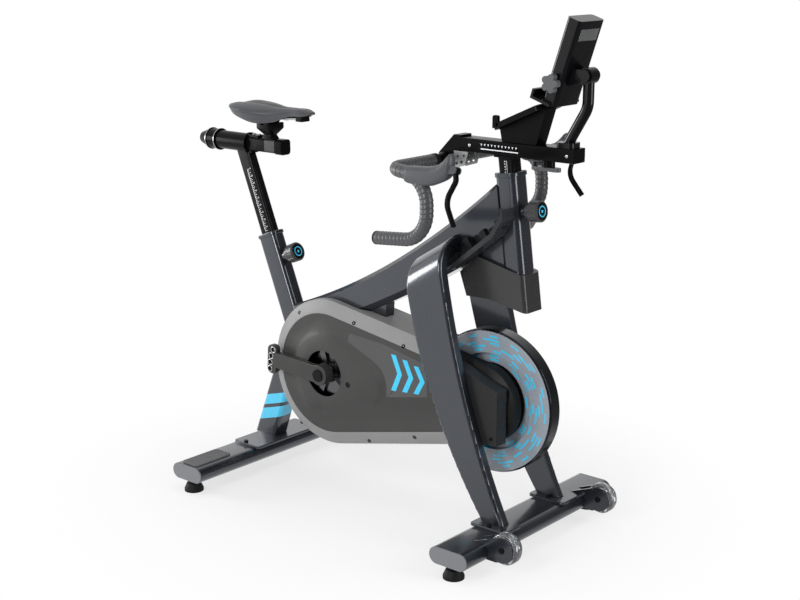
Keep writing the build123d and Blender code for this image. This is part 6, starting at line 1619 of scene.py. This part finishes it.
@dataclass
class Studio:
    """Pale floor, soft light and the camera of the photograph. Places and distances are in metres."""

    azimuth: float = 40.37
    elevation: float = 14.30
    distance: float = 3.52893
    target: tuple = (0.07612, 0.0, 0.52848)
    lens: float = 64.11
    sensor: float = 36.0
    floor_reach: float = 40.0
    floor_colour: Colour = (0.90, 0.90, 0.90)
    floor_roughness: float = 0.9
    fade_span: tuple = (0.3, 1.05)
    fade: tuple = (0.62, 1.0)
    ahead_span: tuple = (-0.1, 1.1)
    ahead_loss: tuple = (0.0, 0.85)
    room_span: tuple = (-0.6, 0.6)
    room: tuple = (0.5, -0.32)
    world_light: float = 0.42
    shown_light: float = 0.58
    lamps: tuple = (
        Lamp("key_strip", (0.6, -3.7, 1.9), 0.9, 2.4, 84.0),
        Lamp("top_strip", (-0.4, 0.2, 3.6), 0.8, 2.6, 14.0),
        Lamp("left_strip", (-3.2, -1.6, 1.0), 1.2, 1.4, 62.0),
        Lamp("front_strip", (3.2, 0.7, 1.4), 1.3, 2.4, 48.0),
    )
    lamp_aim: tuple = (0.0, 0.0, 0.5)

    def build(self) -> None:
        """Make floor, lamps, world and camera."""
        self.floor()
        for lamp in self.lamps:
            lamp.build(self.lamp_aim)
        self.world()
        self.camera()
        bpy.context.scene.view_settings.view_transform = "Standard"

    def floor(self) -> None:
        """Floor that takes the shadow near the bike, fades to white away from it and mirrors darker ahead."""
        reach = self.floor_reach
        corners = ((-reach, -reach, 0.0), (reach, -reach, 0.0), (reach, reach, 0.0), (-reach, reach, 0.0))
        mesh = bpy.data.meshes.new("floor")
        mesh.from_pydata(corners, [], [[0, 1, 2, 3]])
        floor = bpy.data.objects.new("floor", mesh)
        bpy.context.scene.collection.objects.link(floor)
        material = bpy.data.materials.new("pale_floor")
        material.use_nodes = True
        net = NodeTree(material.node_tree)
        shader = material.node_tree.nodes["Principled BSDF"]
        net.fill(shader, {"Base Color": (*self.floor_colour, 1.0), "Roughness": self.floor_roughness})
        white = net.add("ShaderNodeEmission")
        net.fill(white, {"Color": WHITE})
        place = net.add("ShaderNodeTexCoord").outputs["Object"]
        away = net.add("ShaderNodeVectorMath", operation="LENGTH")
        net.join(place, away.inputs[0])
        axes = net.add("ShaderNodeSeparateXYZ")
        net.join(place, axes.inputs[0])
        ahead = net.ramp(axes.outputs[0], self.ahead_span, self.ahead_loss)
        glossy = net.add("ShaderNodeLightPath").outputs["Is Glossy Ray"]
        strength = net.math("SUBTRACT", 1.0, net.math("MULTIPLY", glossy, ahead))
        net.join(strength, white.inputs["Strength"])
        fade = net.ramp(away.outputs["Value"], self.fade_span, self.fade)
        blend = net.add("ShaderNodeMixShader")
        net.join(net.math("MULTIPLY", fade, seen_rays(net)), blend.inputs[0])
        net.join(shader.outputs[0], blend.inputs[1])
        net.join(white.outputs[0], blend.inputs[2])
        net.join(blend.outputs[0], material.node_tree.nodes["Material Output"].inputs["Surface"])
        mesh.materials.append(material)

    def world(self) -> None:
        """White world: dimmer as light, and in reflections pale to the rear and darker ahead of the bike."""
        world = bpy.context.scene.world or bpy.data.worlds.new("studio")
        bpy.context.scene.world = world
        world.use_nodes = True
        net = NodeTree(world.node_tree)
        axes = net.add("ShaderNodeSeparateXYZ")
        net.join(net.add("ShaderNodeTexCoord").outputs["Generated"], axes.inputs[0])
        room = net.ramp(axes.outputs[0], self.room_span, self.room)
        light = net.add("ShaderNodeLightPath")
        shown = net.math("MAXIMUM", light.outputs["Is Camera Ray"], light.outputs["Is Transmission Ray"])
        mirrored = net.math("MULTIPLY", light.outputs["Is Glossy Ray"], room)
        seen = net.math("MULTIPLY", shown, self.shown_light)
        strength = net.math("ADD", seen, net.math("ADD", mirrored, self.world_light))
        back = world.node_tree.nodes["Background"]
        net.fill(back, {"Color": WHITE})
        net.join(strength, back.inputs["Strength"])

    def camera(self) -> None:
        """Camera at the photograph's angle, distance and lens."""
        turn, rise = math.radians(self.azimuth), math.radians(self.elevation)
        away = Vector((math.cos(rise) * math.sin(turn), -math.cos(rise) * math.cos(turn), math.sin(rise)))
        data = bpy.data.cameras.new("photo_camera")
        data.lens = self.lens
        data.sensor_width = self.sensor
        data.sensor_fit = "HORIZONTAL"
        camera = bpy.data.objects.new("photo_camera", data)
        camera.location = Vector(self.target) + self.distance * away
        camera.rotation_euler = away.to_track_quat("Z", "Y").to_euler()
        bpy.context.scene.collection.objects.link(camera)
        bpy.context.scene.camera = camera


def main() -> None:
    """Build every sub-assembly in order."""
    logging.basicConfig(level=logging.INFO)
    HardParts().build()
    Saddle().build()
    DropBar().build()
    CoverTrim().build()
    PrintedScales().build()
    KnobFaces().build()
    SeatTrim().build()
    BarTrim().build()
    CrankTrim().build()
    TabletPlate().build()
    Studio().build()


if __name__ == "__main__":
    main()
